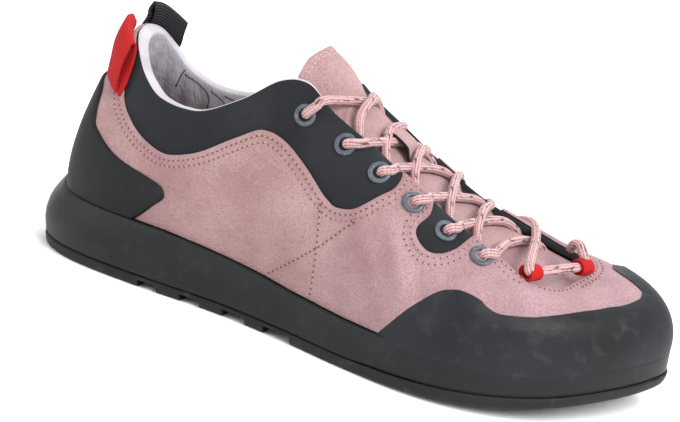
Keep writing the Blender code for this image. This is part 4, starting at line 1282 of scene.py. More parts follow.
# Starts and ends of the broad grooves along the arch, in shares of the length. Then the
# chevrons' places along it, and their reach to each side in shares of the ball width.
ARCH_GROOVES = ((0.237, 0.270), (0.311, 0.345), (0.385, 0.426), (0.459, 0.507))
CHEVRONS = (
    (0.060, 0.22),
    (0.110, 0.27),
    (0.160, 0.29),
    (0.200, 0.29),
    (0.545, 0.33),
    (0.590, 0.36),
    (0.635, 0.38),
    (0.680, 0.40),
    (0.725, 0.40),
    (0.770, 0.38),
)

OUTSOLE_RUBBER = rubber_material(
    "outsole_rubber", (0.007, 0.0075, 0.008), (0.015, 0.016, 0.018), 0.55, 0.45
)


def groove_block(mesh, start, end, low_side, high_side, slant, depth=LUG_DEPTH):
    """One groove of the tread as a rounded bar, from start to end along the shoe."""
    middle = (start + end) / 2
    height = depth + 0.004
    top = float(ground(np.array([middle]))[0]) + depth
    size = Matrix.Diagonal((end - start, abs(high_side - low_side), height, 1))
    place = placed([[middle, (low_side + high_side) / 2, top - height / 2]])[0]
    turn = Matrix.Translation(place) @ Matrix.Rotation(math.radians(slant), 4, "Z") @ size
    made = bmesh.ops.create_cube(mesh, size=1, matrix=turn)
    edges = {edge for corner in made["verts"] for edge in corner.link_edges}
    bmesh.ops.bevel(
        mesh, geom=list(edges), offset=0.0004, segments=2, profile=0.5, affect="EDGES", material=-1
    )


tread = bmesh.new()
for start, end in ARCH_GROOVES:
    groove_block(tread, start * LENGTH, end * LENGTH, -BALL_WIDTH, BALL_WIDTH, 0, ARCH_DEPTH)
for along, half in CHEVRONS:
    start, end = along * LENGTH, along * LENGTH + CHEVRON_WIDTH
    rib, reach = 0.03 * BALL_WIDTH, half * BALL_WIDTH
    groove_block(tread, start, end, rib, reach, CHEVRON_SLANT)
    groove_block(tread, start, end, -reach, -rib, -CHEVRON_SLANT)
tread_data = bpy.data.meshes.new("tread_grooves")
tread.to_mesh(tread_data)
tread.free()
tread_grooves = bpy.data.objects.new("tread_grooves", tread_data)
bpy.context.scene.collection.objects.link(tread_grooves)

# Levels of the outsole's side from its tread to the groove, each with its inset.
OUTSOLE_LEVELS = (
    (0.00, 0.0021),
    (0.06, 0.0013),
    (0.16, 0.0008),
    (0.35, 0.0004),
    (0.60, 0.0001),
    (0.90, 0.0000),
    (1.00, 0.0005),
)
outsole_rings = []
for level, inset in OUTSOLE_LEVELS:
    points, normals = outline(SOLE_TURNS)
    low, high = ground(points[:, 0]), groove(points[:, 0])
    flat = points - normals * inset
    outsole_rings.append(np.column_stack([flat, low + (high - low) * level]))
outsole = ringed_piece("outsole_body", outsole_rings, OUTSOLE_RUBBER)
cut = outsole.modifiers.new("tread", "BOOLEAN")
cut.operation = "DIFFERENCE"
cut.solver = "EXACT"
cut.object = tread_grooves
depsgraph = bpy.context.evaluated_depsgraph_get()
finished = bpy.data.meshes.new_from_object(outsole.evaluated_get(depsgraph))
outsole.modifiers.clear()
outsole.data = finished
finished.set_sharp_from_angle(angle=math.radians(32))
bpy.data.objects.remove(tread_grooves, do_unlink=True)
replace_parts(outsole, "outsole")


# ---------------------------------------------------------------------------
# Insole: a loose moulded foam bed under knit painted dark as the shade inside the shoe, lying on
# the midsole inside.

INSOLE = 0.0035


def shaded_insole_material():
    """Grey-mauve knit with a fine rib, painted dark as the shade inside the shoe."""
    material, n = new_material("insole_knit_painted_shade")
    place = n.add("ShaderNodeTexCoord").outputs["Object"]
    rib = n.grain(place, 1500, 1, (0.3, 1.0, 1.0))
    cloud = n.patches(place, 50, 3, 0.35, 0.65)
    # Painted shade: the knit's colours are dark shaded copies of the pale lining's.
    n.finish(
        Base_Color=n.mixed(cloud, rgb(0.085, 0.070, 0.080), rgb(0.13, 0.11, 0.12)),
        Roughness=0.95,
        Normal=n.bump(rib, 0.0004, 0.5),
    )
    return material


def insole_ring(inset, rise):
    """A ring of the insole, inside the sole's outline by an inset, at a height."""
    points, normals = outline(SOLE_TURNS)
    inside = step_in(points[:, 0]) + SOLE_LEDGE + WALL + 2 * GAP + inset
    flat = points - normals * inside[:, None]
    return np.column_stack([flat, midsole_top(flat[:, 0]) + GAP + rise])


# Rings from the insole's lower edge over its rounded rim to its dish: each one's inset,
# and its height as a share of the insole's thickness.
INSOLE_RINGS = (
    (0.0000, 0.00),
    (0.0000, 0.70),
    (0.0005, 0.90),
    (0.0014, 1.00),
    (0.0040, 0.93),
    (0.0090, 0.80),
)
insole_rings = [insole_ring(inset, share * INSOLE) for inset, share in INSOLE_RINGS]
insole = ringed_piece("insole_bed", insole_rings, shaded_insole_material())
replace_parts(insole, "insole")


# ---------------------------------------------------------------------------
# Tongue: padded pale suede, sewn in under the vamp and running up between the laces
# to a rounded free top with a double row of light thread along its edge.

TONGUE = 0.0032
TONGUE_TOP = 0.0048
TONGUE_PLACES = (0.90, 0.86, 0.81, 0.76, 0.71, 0.66, 0.61, 0.56)
FLAP_PLACES = (0.535, 0.510, 0.485, 0.465, 0.450, 0.440)
TONGUE_SHIFT = -0.0020

# The tongue's free top, row by row: its place along as a share of the length, its
# height over the midsole as a share of HEEL_RISE, its half width as a share of the ball
# width, and how far its sides lie back and fall, as shares of length and HEEL_RISE.
TONGUE_FLAP = (
    (0.494, 1.035, 0.172, 0.028, 0.105),
    (0.477, 1.105, 0.176, 0.050, 0.125),
    (0.460, 1.160, 0.172, 0.050, 0.125),
    (0.4465, 1.200, 0.145, 0.034, 0.092),
    (0.436, 1.222, 0.100, 0.024, 0.060),
    (0.428, 1.232, 0.055, 0.008, 0.032),
)
FINER = 8
EASED_ROWS = 4 * FINER
EASED_TIMES = 24
FLAP_ROWS = 5 * FINER
PILLOW = 0.0007


def tongue_row(place):
    """Points across the tongue at a round: under each side of the throat, and arched
    between them."""
    under = -(WALL + 4 * GAP)
    sides = []
    for side in ("lateral", "medial"):
        turn = float(side_turns(place, side))
        sides.append(shell([turn] * 3, [0.84, 0.92, 1.0], under))
    start, end = sides[0][2], sides[1][2]
    span = np.linalg.norm(end - start)
    lean_in = (start - sides[0][1]) / np.linalg.norm(start - sides[0][1])
    lean_out = (end - sides[1][1]) / np.linalg.norm(end - sides[1][1])
    low, high = start + lean_in * span * 0.3, end + lean_out * span * 0.3
    arch = []
    for t in (0.25, 0.5, 0.75):
        first = (1 - t) ** 3 * start + 3 * t * (1 - t) ** 2 * low
        arch.append(first + 3 * t**2 * (1 - t) * high + t**3 * end)
    return np.array([*sides[0], *arch, *sides[1][::-1]])


def flap_row(row):
    """Points across the tongue's free top, arched over its half width."""
    along, high, half_width, back, fall = row
    base = float(midsole_top(np.array([along * LENGTH]))[0])
    points = []
    for t in (-1.0, -0.92, -0.82, -0.42, 0.0, 0.42, 0.82, 0.92, 1.0):
        x = along * LENGTH - back * LENGTH * t * t
        y = half_width * BALL_WIDTH * t + TONGUE_SHIFT
        points.append((x, y, base + (high - fall * t * t) * HEEL_RISE))
    return np.array(points)


def finer_grid(grid, steps):
    """A grid of points with smooth curves through it both ways."""
    wide = np.array([rounded_line(row, steps=steps) for row in grid])
    columns = [rounded_line(wide[:, k], steps=steps) for k in range(wide.shape[1])]
    return np.array(columns).transpose(1, 0, 2)


def eased_top(grid, rows, times):
    """A grid with its last rows evened out, and the corners of its end rounded."""
    for _ in range(times):
        eased = grid.copy()
        sides = grid[:-2, 1:-1] + grid[2:, 1:-1] + grid[1:-1, :-2] + grid[1:-1, 2:]
        eased[1:-1, 1:-1] = sides / 4
        eased[-1, 1:-1] = (grid[-1, :-2] + grid[-1, 2:]) / 2
        eased[-1, 0] = (grid[-2, 0] + grid[-1, 1]) / 2
        eased[-1, -1] = (grid[-2, -1] + grid[-1, -2]) / 2
        for rim in (0, -1):
            eased[1:-1, rim] = (grid[:-2, rim] + grid[2:, rim]) / 2
        grid = np.concatenate([grid[:-rows], (grid[-rows:] + eased[-rows:]) / 2])
    return grid


def grid_normals(grid):
    """Unit normals of a grid of points."""
    normals = np.cross(np.gradient(grid, axis=1), np.gradient(grid, axis=0))
    return normals / np.maximum(np.linalg.norm(normals, axis=2), 1e-12)[..., None]


def thick_grid(name, grid, thickness, *materials, uvs=None, body_kinds=None):
    """A closed sheet: a grid of points over a second grid below it, joined by a rim.
    body_kinds gives the materials of its face, and of its underside and rim."""
    rows, columns = grid.shape[:2]
    under = grid - grid_normals(grid) * np.broadcast_to(thickness, (rows, columns))[..., None]
    faces = grid_faces(rows, columns)
    low = [tuple(k + rows * columns for k in face[::-1]) for face in faces]
    rim = list(range(columns))
    rim += [i * columns + columns - 1 for i in range(1, rows)]
    rim += [(rows - 1) * columns + j for j in range(columns - 2, -1, -1)]
    rim += [i * columns for i in range(rows - 2, 0, -1)]
    side = []
    for a, b in zip(rim, rim[1:] + rim[:1]):
        side.append((b, a, a + rows * columns, b + rows * columns))
    points = np.concatenate([grid.reshape(-1, 3), under.reshape(-1, 3)])
    if uvs is not None:
        uvs = np.concatenate([uvs.reshape(-1, 2)] * 2)
    kinds = None
    if body_kinds:
        kinds = [body_kinds[0]] * len(faces) + [body_kinds[1]] * (len(low) + len(side))
    return outward(piece(name, points, faces + low + side, *materials, uvs=uvs, kinds=kinds))


TONGUE_SUEDE = suede_material("tongue_suede", paler=0.35)
front = shell(np.linspace(0.468, 0.532, 9), np.full(9, 0.78), -(WALL + 5 * GAP))
tongue_rows = [front] + [tongue_row(place) for place in TONGUE_PLACES]
tongue_rows += [flap_row(row) for row in TONGUE_FLAP]
tongue_grid = eased_top(finer_grid(np.array(tongue_rows), FINER), EASED_ROWS, EASED_TIMES)
TONGUE_HEIGHT, TONGUE_SPAN = tongue_grid.shape[:2]
height_share = np.linspace(0, 1, TONGUE_HEIGHT)[:, None]
span_share = np.linspace(-1, 1, TONGUE_SPAN)[None]
tongue_thick = TONGUE + (TONGUE_TOP - TONGUE) * height_share**2
tongue_thick = tongue_thick * (1 - 0.75 * np.abs(span_share) ** 1.3)
tongue_thick *= 1 - 0.85 * smooth_step(0.93, 1.0, height_share) ** 2
tongue_thick *= 1 - 0.6 * smooth_step(0.93, 1.0, np.abs(span_share)) ** 2
pillow = PILLOW * np.sin(height_share * 19) * (1 - span_share**2)
pillow = pillow * bump_at(0.8, 0.3, height_share)
tongue_out = tongue_grid + grid_normals(tongue_grid) * pillow[..., None]
tongue = thick_grid("tongue_pad", tongue_out, tongue_thick, TONGUE_SUEDE)
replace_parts(tongue, "tongue")


def on_tongue(place, across, lift=0.0):
    """A point off the tongue's face: a round along the throat, and a share across from
    its lateral edge. Its lift is square to the tongue."""
    places = -np.array(TONGUE_PLACES + FLAP_PLACES)
    row = np.interp(-place, places, np.arange(len(places)) + 1) * FINER
    column = (2 + 4 * across) * FINER
    i, j = int(min(row, TONGUE_HEIGHT - 1.001)), int(min(column, TONGUE_SPAN - 1.001))
    u, v = row - i, column - j
    corners = tongue_out[i : i + 2, j : j + 2]
    spot = corners[0] * (1 - u) + corners[1] * u
    spot = spot[0] * (1 - v) + spot[1] * v
    return spot + TONGUE_NORMALS[i, j] * lift


TONGUE_NORMALS = grid_normals(tongue_out)
FLAP_SEAMS = (0.0032, 0.0056)
FLAP_STITCH = ((-0.5, 0.35, 0.3), (-0.3, 0.95, 0.3), (0.3, 0.95, 0.3), (0.5, 0.35, 0.3))
FLAP_PITCH = 0.0026
FLAP_STITCH_LENGTH, FLAP_STITCH_RADIUS = 0.0013, 0.00024

flap_start = TONGUE_HEIGHT - FLAP_ROWS
flap_rim = np.concatenate(
    [tongue_out[flap_start:, 0], tongue_out[-1, 1:-1], tongue_out[:flap_start:-1, -1]]
)
flap = tongue_out[flap_start:].reshape(-1, 3)
flap_tree = search_tree(flap)
to_middle = flap.mean(0) - flap_rim
to_middle /= np.linalg.norm(to_middle, axis=1)[:, None]
flap_seams = []
for inset in FLAP_SEAMS:
    pulled = flap_rim + to_middle * inset
    flap_seams.append(np.array([flap[flap_tree.find(spot)[1]] for spot in pulled]))


def flap_stitches(name, lines, material):
    """Rows of stitches along lines of points on the tongue's free top."""
    points, faces = [], []
    for line in lines:
        steps = run_along(line)
        marks = np.arange(FLAP_PITCH, steps[-1] - FLAP_PITCH, FLAP_PITCH)
        spots = np.column_stack([np.interp(marks, steps, line[:, k]) for k in range(3)])
        along = np.gradient(spots, axis=0)
        along /= np.linalg.norm(along, axis=1)[:, None]
        normals = np.cross(along, (0.3, 1.0, 0.2))
        normals /= np.linalg.norm(normals, axis=1)[:, None]
        normals[normals[:, 2] + normals[:, 0] < 0] *= -1
        more, sides = stitch_bars(
            spots, along, normals, FLAP_STITCH, FLAP_STITCH_LENGTH, FLAP_STITCH_RADIUS
        )
        faces += [tuple(k + len(points) for k in face) for face in sides]
        points += more
    return piece(name, np.array(points), faces, material)


PALE_THREAD = thread_material("pale_thread", (0.60, 0.46, 0.46))
flap_stitches("tongue_stitches", flap_seams, PALE_THREAD)


# ---------------------------------------------------------------------------
# Keeper: a suede strap sewn down to the tongue at both ends, bridging the second
# crossing, its cut edges and underside black.

KEEPER = 0.0012
KEEPER_WIDTH = 0.0100
KEEPER_HEIGHT = 0.0046
KEEPER_DROOP = 0.0007

# The strap's line from its upper foot to its lower: the round along the throat, and a
# share of KEEPER_HEIGHT off the tongue.
KEEPER_PATH = (
    (0.597, 0.05),
    (0.600, 0.55),
    (0.605, 0.92),
    (0.611, 1.00),
    (0.619, 1.00),
    (0.625, 0.90),
    (0.630, 0.50),
    (0.635, 0.05),
)
KEEPER_ACROSS = 0.50

strap_line = []
for place, lift in KEEPER_PATH:
    strap_line.append(on_tongue(place, KEEPER_ACROSS, lift * KEEPER_HEIGHT + KEEPER))
strap_line = rounded_line(strap_line)
strap_rows = []
for k, spot in enumerate(strap_line):
    flare = 1 + 0.18 * (2 * k / (len(strap_line) - 1) - 1) ** 2
    row = []
    for t in np.linspace(-1, 1, 13):
        droop = KEEPER_DROOP * abs(t) ** 4
        row.append(spot + (0, KEEPER_WIDTH / 2 * flare * t, -droop))
    strap_rows.append(row)
strap_grid = np.array(strap_rows)[::-1]
KEEPER_BLACK = rubber_material("keeper_edge", (0.010, 0.009, 0.010), (0.020, 0.018, 0.020), 0.8)
keeper = thick_grid(
    "tongue_keeper_strap", strap_grid, KEEPER, TONGUE_SUEDE, KEEPER_BLACK, body_kinds=(0, 1)
)
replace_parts(keeper, "tongue_keeper")


# ---------------------------------------------------------------------------
# Eyelets: six pressed metal rings a side, their flanges painted blue-grey, rolled
# over on the upper's face round an open barrel.

EYELET_RADIUS = 0.0044
EYELET_BORE = 0.0025
EYELET_WALL = 0.0003
EYELET_HEAD = 0.0008

# Each pair of eyelets from the top: its round and rise, whether it is set in the suede,
# how high its lace stands off the tongue, and the rounds where the lace from each side
# crosses its own edge of the throat and goes under the other.
EYELET_COLUMNS = ("round", "rise", "on_suede", "lace_lift")
EYELET_COLUMNS += ("lateral_near", "lateral_far", "medial_near", "medial_far")
EYELETS = (
    (0.478, 0.81, 0, 0.34, 0.517, 0.556, 0.524, 0.578),
    (0.545, 0.82, 0, 0.14, 0.586, 0.635, 0.578, 0.615),
    (0.590, 0.79, 0, 0.10, 0.621, 0.668, 0.612, 0.650),
    (0.633, 0.77, 1, 0.10, 0.663, 0.712, 0.657, 0.695),
    (0.676, 0.79, 0, 0.10, 0.702, 0.757, 0.705, 0.737),
    (0.722, 0.78, 1, 0.10, 0.756, 0.805, 0.776, 0.822),
)


def eyelet_material():
    """Blue-grey paint on metal, worn bright in specks."""
    material, n = new_material("eyelet_metal")
    place = n.add("ShaderNodeTexCoord").outputs["Object"]
    wear = n.patches(place, 900, 3, 0.60, 0.72)
    cloud = n.patches(place, 300, 2, 0.35, 0.65)
    paint = n.mixed(cloud, rgb(0.050, 0.062, 0.075), rgb(0.075, 0.090, 0.105))
    n.finish(
        Base_Color=n.mixed(wear, paint, rgb(0.16, 0.17, 0.18)),
        Roughness=n.ranged(wear, 0, 1, 0.5, 0.4),
        Metallic=0.2,
        Normal=n.bump(n.grain(place, 1500, 2), 0.0001, 0.4),
    )
    return material


EYELET_METAL = eyelet_material()
EYELET_PROFILE = (
    (EYELET_BORE + EYELET_WALL, 0.0),
    (EYELET_BORE + EYELET_WALL, -(WALL + GAP)),
    (EYELET_BORE, -(WALL + GAP)),
    (EYELET_BORE, 0.30 * EYELET_HEAD),
    (EYELET_BORE + 0.0001, 0.75 * EYELET_HEAD),
    (EYELET_BORE + 0.0004, 0.98 * EYELET_HEAD),
    (EYELET_RADIUS - 0.0008, EYELET_HEAD),
    (EYELET_RADIUS - 0.0003, 0.88 * EYELET_HEAD),
    (EYELET_RADIUS, 0.45 * EYELET_HEAD),
    (EYELET_RADIUS, 0.0),
)


def eyelet_spot(index, side):
    """The middle of an eyelet on the face it is set in, and its axis."""
    place, rise, on_suede = EYELETS[index][:3]
    turn = side_turns([place], side)
    return shell(turn, [rise], on_suede * SUEDE_OUTER)[0], skin_normal(turn, [rise])[0]


for side in ("lateral", "medial"):
    for index in range(len(EYELETS)):
        centre, axis = eyelet_spot(index, side)
        ring = bmesh.new()
        corners = [ring.verts.new((radius, 0, height)) for radius, height in EYELET_PROFILE]
        loop = [ring.edges.new((a, b)) for a, b in zip(corners, corners[1:] + corners[:1])]
        bmesh.ops.spin(
            ring,
            geom=corners + loop,
            cent=(0, 0, 0),
            axis=(0, 0, 1),
            angle=math.tau,
            steps=40,
            use_merge=True,
        )
        bmesh.ops.recalc_face_normals(ring, faces=ring.faces)
        stand = Vector((0, 0, 1)).rotation_difference(Vector(axis)).to_matrix().to_4x4()
        stand = Matrix.Translation(Vector(placed([centre])[0])) @ stand
        bmesh.ops.transform(ring, matrix=stand, verts=ring.verts)
        data = bpy.data.meshes.new(f"eyelet_ring_{side}_{index + 1}")
        ring.to_mesh(data)
        ring.free()
        data.materials.append(EYELET_METAL)
        data.shade_smooth()
        data.set_sharp_from_angle(angle=math.radians(55))
        eyelet = bpy.data.objects.new(data.name, data)
        bpy.context.scene.collection.objects.link(eyelet)
        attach(eyelet, "root")
        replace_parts(eyelet, f"eyelet_{side}_{index + 1}")


# ---------------------------------------------------------------------------
# Lace: one round braid, pink with maroon lines and black flecks, up through the
# eyelets and crossed over the tongue, the medial runs lying on the lateral ones.

LACE = 0.0037
LACE_SIDES = 16
BRAID_PITCH = 0.0022
LOOP_PLACES = (-0.12, 1.0)


def lace_material():
    """Round polyester braid: pink strands with maroon carriers and black flecks, and shade painted
    darker between the strands.
    """
    material, n = new_material("lace_braid")
    uv = n.add("ShaderNodeTexCoord").outputs["UV"]
    u, v = n.add("ShaderNodeSeparateXYZ", {0: uv}).outputs[:2]
    along = n.maths("MULTIPLY", u, math.tau / BRAID_PITCH)
    round_it = n.maths("MULTIPLY", v, math.tau * 6)
    first = n.maths("SINE", n.maths("ADD", along, round_it))
    second = n.maths("SINE", n.maths("SUBTRACT", along, round_it))
    braid = n.maths("MULTIPLY", first, second)
    lines = n.maths("SINE", n.maths("MULTIPLY", v, math.tau * 5))
    flecks = n.grain(uv, 1, 1, (270.0, 6.0, 1.0))
    # Painted shade: the darker pink lies in the hollows of the braid.
    base = n.mixed(n.ranged(braid, -0.7, 0.5), rgb(0.44, 0.24, 0.24), rgb(0.60, 0.38, 0.38))
    base = n.mixed(n.ranged(lines, 0.50, 0.85, 0.0, 0.85), base, rgb(0.19, 0.055, 0.065))
    base = n.mixed(n.ranged(flecks, 0.60, 0.64, 0.0, 0.95), base, rgb(0.035, 0.025, 0.03))
    n.finish(Base_Color=base, Roughness=0.75, Sheen_Weight=0.2, Normal=n.bump(braid, 0.0004, 0.5))
    return material


LACE_BRAID = lace_material()


def braid_tube(line, radius):
    """Points, faces and uvs of a round cord along a smooth line, its ends closed."""
    ahead = np.gradient(line, axis=0)
    ahead /= np.linalg.norm(ahead, axis=1)[:, None]
    side = np.cross(ahead[0], (0.1, 0.3, 1.0))
    run = run_along(line)
    points, uvs = [], []
    for k, spot in enumerate(line):
        side = side - ahead[k] * np.dot(side, ahead[k])
        side /= np.linalg.norm(side)
        top = np.cross(ahead[k], side)
        for j in range(LACE_SIDES):
            angle = math.tau * j / LACE_SIDES
            points.append(spot + radius * (side * math.cos(angle) + top * math.sin(angle)))
            uvs.append((run[k], abs(2 * j / LACE_SIDES - 1)))
    faces = grid_faces(len(line), LACE_SIDES, closed_columns=True)
    last = (len(line) - 1) * LACE_SIDES
    faces.append(tuple(range(LACE_SIDES - 1, -1, -1)))
    faces.append(tuple(last + j for j in range(LACE_SIDES)))
    return np.array(points), faces, np.array(uvs)


def cord_piece(name, lines, radius, material):
    """One piece of several round cords along smooth lines."""
    points, faces, uvs = [], [], []
    for line in lines:
        more, sides, spread = braid_tube(line, radius)
        base = sum(len(part) for part in points)
        faces += [tuple(k + base for k in face) for face in sides]
        points.append(more)
        uvs.append(spread)
    return outward(piece(name, np.concatenate(points), faces, material, uvs=np.concatenate(uvs)))


# The bar's ends on the throat's edge: their turn, and how far they stand in from the
# edge and over it, in thicknesses of the lace.
BAR_COLUMNS = ("turn", "inward", "lift")
BAR_ENDS = ((0.411, 1.00, 1.25), (0.494, 0.75, 1.08))


def bar_point(share):
    """A point on the middle line of the lace bar, at a share of its length."""
    turns = column(BAR_ENDS, BAR_COLUMNS, "turn")
    start, end = shell(turns, [1.0, 1.0], 0.0)
    inward = (end - start) / np.linalg.norm(end - start) * LACE
    ins, lifts = [column(BAR_ENDS, BAR_COLUMNS, name) for name in ("inward", "lift")]
    start = start + inward * ins[0] + (0, 0, LACE * lifts[0])
    end = end - inward * ins[1] + (0, 0, LACE * lifts[1])
    return start + (end - start) * share


# How a lace leaves its eyelet on each side: the share of the way to the throat's edge
# where it lies down, and its heights there and at the edge in its own thicknesses.
EXITS = {"lateral": (0.42, 0.40, 0.42), "medial": (0.60, 0.24, 0.20)}
TOP_EXIT = 0.53
KEEPER_RUN = 1
LACE_PLACES = (0.50, 0.74, 0.91, 1.03)


def lace_line(index, side):
    """A lace up through its eyelet, over its edge of the throat, across the tongue and
    down under the other edge. The last medial one ends in the bar's outer loop."""
    row = dict(zip(EYELET_COLUMNS, EYELETS[index]))
    rise, near, far = row["rise"], row[side + "_near"], row[side + "_far"]
    leaving, pressed, top = EXITS[side]
    if side == "lateral" and index == 0:
        leaving = TOP_EXIT
    centre, axis = eyelet_spot(index, side)
    suede_lift = row["on_suede"] * SUEDE_OUTER
    beside = side_turns([0.44 * row["round"] + 0.56 * near], side)
    height = pressed * LACE + suede_lift
    between = shell(beside, [(1 - leaving) * rise + leaving], height)[0]
    lean = (between - centre) / np.linalg.norm(between - centre)
    edge = shell(side_turns([near], side), [1.0], -WALL / 2)[0]
    points = [
        centre - axis * 0.0050 + lean * 0.0002,
        centre - axis * 0.0015 + lean * 0.0005,
        centre + axis * 0.0010 + lean * 0.0014,
        between,
        edge + (0, 0, top * LACE + 0.5 * suede_lift),
    ]
    if side == "medial" and index == len(EYELETS) - 1:
        start = bar_point(LOOP_PLACES[0])
        ahead = bar_point(1.0) - bar_point(0.0)
        ahead /= np.linalg.norm(ahead)
        points.append(0.55 * points[-1] + 0.45 * start + (0, 0, 0.0030))
        points += [start - ahead * 0.0018 + (0, 0, 0.0028), start, start + ahead * 0.0030]
        return rounded_line(points, steps=7)
    crossed = 0.3 if index == KEEPER_RUN else 0.85
    bow = 0.55 if side == "medial" and index == 0 else 0.85
    for across in LACE_PLACES:
        lift = 0.46 + 0.5 * row["lace_lift"]
        if side == "medial":
            lift += crossed * bump_at(0.52, 0.42, across)
        lift -= 0.25 * smooth_step(0.72, 0.9, across) + 0.9 * smooth_step(0.86, 1.03, across)
        share = across if side == "lateral" else 1 - across
        points.append(on_tongue(near + (far - near) * across**bow, share, lift * LACE))
    return rounded_line(points, steps=7)


for index in range(len(EYELETS)):
    lines = [lace_line(index, side) for side in ("lateral", "medial")]
    crossing = cord_piece(f"lace_run_{index + 1}", lines, LACE / 2, LACE_BRAID)
    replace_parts(crossing, f"lace_crossing_{index + 1}")


# ---------------------------------------------------------------------------
# Lace bar: the lace's lowest run, straight across the throat's front through two
# short loops of red ribbed tape sewn under its edge.

LOOP_WIDTH = 0.0062
LOOP_WALL = 0.0009

# The bar's places along its line, then the steps past its inner loop up to the eyelet.
BAR_PLACES = (-0.12, 0.0, 0.15, 0.3, 0.5, 0.7, 0.88, 1.0)
BAR_LEAVES = (
    (-0.0012, 0.0014, 0.0045),
    (-0.0034, 0.0030, 0.0068),
    (-0.0062, 0.0052, 0.0062),
    (-0.0080, 0.0078, 0.0030),
)
bar_line = [bar_point(share) for share in BAR_PLACES]
bar_line.append(bar_point(1.06) + (-0.0006, 0.0002, 0.0014))
bar_line += [bar_point(1.0) + step for step in BAR_LEAVES]
bar = cord_piece("lace_bar_run", [rounded_line(bar_line)], LACE / 2, LACE_BRAID)
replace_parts(bar, "lace_bar")


def webbing_material(name, dark, pale, pitch):
    """Grosgrain tape: fine ribs across the band, with shade painted darker in the furrows."""
    material, n = new_material(name)
    uv = n.add("ShaderNodeTexCoord").outputs["UV"]
    u, v = n.add("ShaderNodeSeparateXYZ", {0: uv}).outputs[:2]
    rib = n.maths("SINE", n.maths("MULTIPLY", u, math.tau / pitch))
    warp = n.maths("SINE", n.maths("MULTIPLY", v, math.tau / (0.45 * pitch)))
    weave = n.maths("ADD", rib, n.maths("MULTIPLY", warp, 0.25))
    place = n.add("ShaderNodeTexCoord").outputs["Object"]
    fuzz = n.grain(place, 2500, 1)
    # Painted shade: the dark colour follows the furrows between the ribs.
    base = n.mixed(n.ranged(weave, -0.9, 0.7), rgb(*dark), rgb(*pale))
    height = n.maths("ADD", weave, fuzz)
    n.finish(Base_Color=base, Roughness=0.7, Normal=n.bump(height, 0.0003, 0.6))
    n.shader.inputs["Specular IOR Level"].default_value = 0.2
    return material


# The first colour of each tape is its painted shade in the furrows.
RED_WEBBING = webbing_material("red_webbing", (0.25, 0.004, 0.004), (0.52, 0.008, 0.008), 0.0010)
LOOP_SIDES = 28
LOOP_FLAT = 0.0006

# A loop's cross-section: half widths from its middle, and walls over the lace in its
# own thicknesses, from the inner face round the outer one.
LOOP_PROFILE = (
    (-1.0, 0.00),
    (-1.0, 1.00),
    (-0.9, 1.25),
    (-0.4, 1.40),
    (0.4, 1.40),
    (0.9, 1.25),
    (1.0, 1.00),
    (1.0, 0.00),
)

for name, share in zip(("lateral", "medial"), LOOP_PLACES):
    middle = bar_point(share)
    axis = bar_point(share + 0.1) - bar_point(share - 0.1)
    axis /= np.linalg.norm(axis)
    side = np.cross(axis, (0, 0, 1))
    side /= np.linalg.norm(side)
    up = np.cross(side, axis)
    spots, spread = [], []
    for width, reach in LOOP_PROFILE:
        wall = LACE / 2 + 0.0001 + LOOP_WALL * reach
        for k in range(LOOP_SIDES):
            angle = math.tau * k / LOOP_SIDES
            spot = middle + axis * LOOP_WIDTH / 2 * width
            spot = spot + side * math.cos(angle) * (wall + LOOP_FLAT)
            spots.append(spot + up * math.sin(angle) * wall)
            spread.append((width * LOOP_WIDTH / 2, angle * LACE / 2))
    band = piece(
        f"red_loop_{name}",
        spots,
        grid_faces(len(LOOP_PROFILE), LOOP_SIDES, closed_rows=True, closed_columns=True),
        RED_WEBBING,
        uvs=spread,
    )
    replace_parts(outward(band), f"lace_loop_{name}")


# ---------------------------------------------------------------------------
# Heel tag and pull loop: folded grosgrain tape, the red tag over the collar's outer
# side and the black loop standing behind it, both sewn down at their feet.

WEBBING = 0.0009
TAG_REACH = 0.0080
PULL_REACH = 0.0132
TAPE_WIDTH = 0.022

# A folded tape from its outer foot to its inner: the turns of its back and front edges,
# their rise, and how far each edge stands off the upper and up, as shares of its reach.
BAND_COLUMNS = ("back", "front", "rise", "back_out", "front_out", "back_up", "front_up")
HEEL_TAG = (
    (0.038, 0.0600, 0.72, 0.32, 0.32, 0.00, 0.00),
    (0.032, 0.0550, 0.80, 0.48, 0.44, 0.00, 0.00),
    (0.023, 0.0515, 0.90, 0.68, 0.56, 0.00, 0.00),
    (0.014, 0.0500, 1.00, 0.76, 0.54, 0.00, 0.08),
    (0.010, 0.0490, 1.00, 0.68, 0.40, 0.08, 0.28),
    (0.009, 0.0480, 1.00, 0.52, 0.18, 0.18, 0.40),
    (0.010, 0.0485, 1.00, 0.34, 0.02, 0.14, 0.32),
    (0.012, 0.0500, 1.00, 0.14, 0.00, 0.00, 0.10),
    (0.017, 0.0550, 0.94, 0.00, 0.00, 0.00, 0.00),
    (0.026, 0.0610, 0.82, 0.00, 0.00, 0.00, 0.00),
    (0.032, 0.0630, 0.72, 0.00, 0.00, 0.00, 0.00),
)
PULL_LOOP = (
    (-0.006, -0.0460, 0.88, 0.20, 0.20, 0.00, 0.00),
    (-0.006, -0.0480, 1.00, 0.21, 0.21, 0.00, 0.00),
    (-0.007, -0.0510, 1.00, 0.20, 0.18, 0.28, 0.42),
    (-0.008, -0.0545, 1.00, 0.08, 0.08, 0.56, 0.80),
    (-0.008, -0.0555, 1.00, -0.03, -0.03, 0.69, 0.97),
    (-0.008, -0.0555, 1.00, -0.14, -0.13, 0.62, 0.90),
    (-0.009, -0.0530, 1.00, -0.12, -0.11, 0.36, 0.55),
    (-0.009, -0.0510, 1.00, -0.05, -0.05, 0.10, 0.15),
    (-0.009, -0.0490, 0.96, 0.00, 0.00, 0.00, 0.00),
    (-0.009, -0.0470, 0.88, 0.00, 0.00, 0.00, 0.00),
)


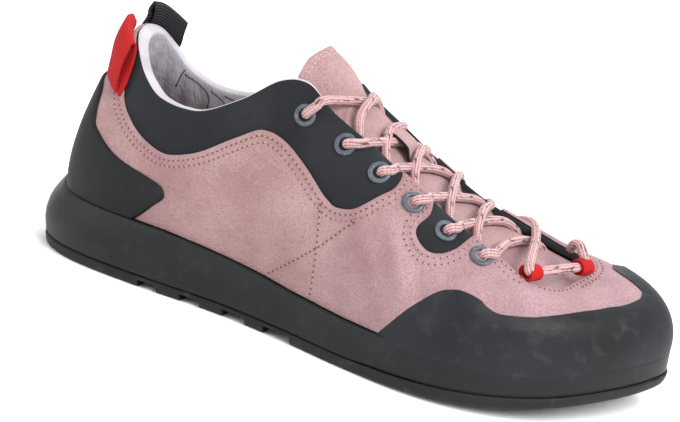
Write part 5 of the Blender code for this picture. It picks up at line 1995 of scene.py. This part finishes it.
def folded_band(name, table, reach, material):
    """A folded tape from its outer foot over the fold to its inner foot."""
    seat = SUEDE_OUTER + GAP
    edges = []
    for edge in ("back", "front"):
        outs = seat + reach * column(table, BAND_COLUMNS, edge + "_out")
        ups = reach * column(table, BAND_COLUMNS, edge + "_up")
        edges.append((column(table, BAND_COLUMNS, edge), outs, ups))
    rows = []
    for share in np.linspace(0, 1, 6):
        turns, outs, ups = [first + (second - first) * share for first, second in zip(*edges)]
        row = shell(turns % 1.0, column(table, BAND_COLUMNS, "rise"), outs[:, None])
        rows.append(row + ups[:, None] * (0, 0, 1))
    grid = finer_grid(np.array(rows).transpose(1, 0, 2), 6)
    if edges[1][0][0] < edges[0][0][0]:
        grid = grid[:, ::-1]
    run = np.column_stack([run_along(line) for line in grid.transpose(1, 0, 2)])
    across = np.linspace(0, TAPE_WIDTH, grid.shape[1])[None].repeat(len(grid), 0)
    return thick_grid(name, grid, WEBBING, material, uvs=np.dstack([run, across]))


heel_tag = folded_band("heel_tag_tape", HEEL_TAG, TAG_REACH, RED_WEBBING)
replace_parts(heel_tag, "heel_tag")
BLACK_WEBBING = webbing_material(
    "black_webbing", (0.006, 0.006, 0.007), (0.026, 0.027, 0.030), 0.0012
)
pull_loop = folded_band("pull_loop_tape", PULL_LOOP, PULL_REACH, BLACK_WEBBING)
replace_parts(pull_loop, "pull_loop")


# ---------------------------------------------------------------------------
# Lining seams: a short dark seam at each side of the heel and curved quilting lines,
# sewn through the knit into the collar's foam.

# Each line as turns and rises on the medial side, mirrored on the lateral one.
LINING_SEAMS = (
    ((0.934, 0.975), (0.936, 0.910), (0.936, 0.790)),
    ((0.933, 0.940), (0.919, 0.955), (0.906, 0.935), (0.900, 0.880), (0.899, 0.790)),
    ((0.900, 0.960), (0.889, 0.930), (0.881, 0.870), (0.879, 0.780)),
    ((0.884, 0.965), (0.870, 0.930), (0.862, 0.860), (0.860, 0.790)),
)
SEAM_RADIUS = 0.00032
LINING_THREAD = thread_material("lining_thread", (0.13, 0.095, 0.115))

seam_cords = []
for seam in LINING_SEAMS:
    medial = even_line(rounded_line(seam), 0.0010)
    for line in (medial, np.column_stack([1 - medial[:, 0], medial[:, 1]])):
        inside = -WALL - collar_pad(line[:, 0], line[:, 1])
        seam_cords.append(surface(line[:, 0], line[:, 1], inside))
cord_piece("lining_seams", seam_cords, SEAM_RADIUS, LINING_THREAD)
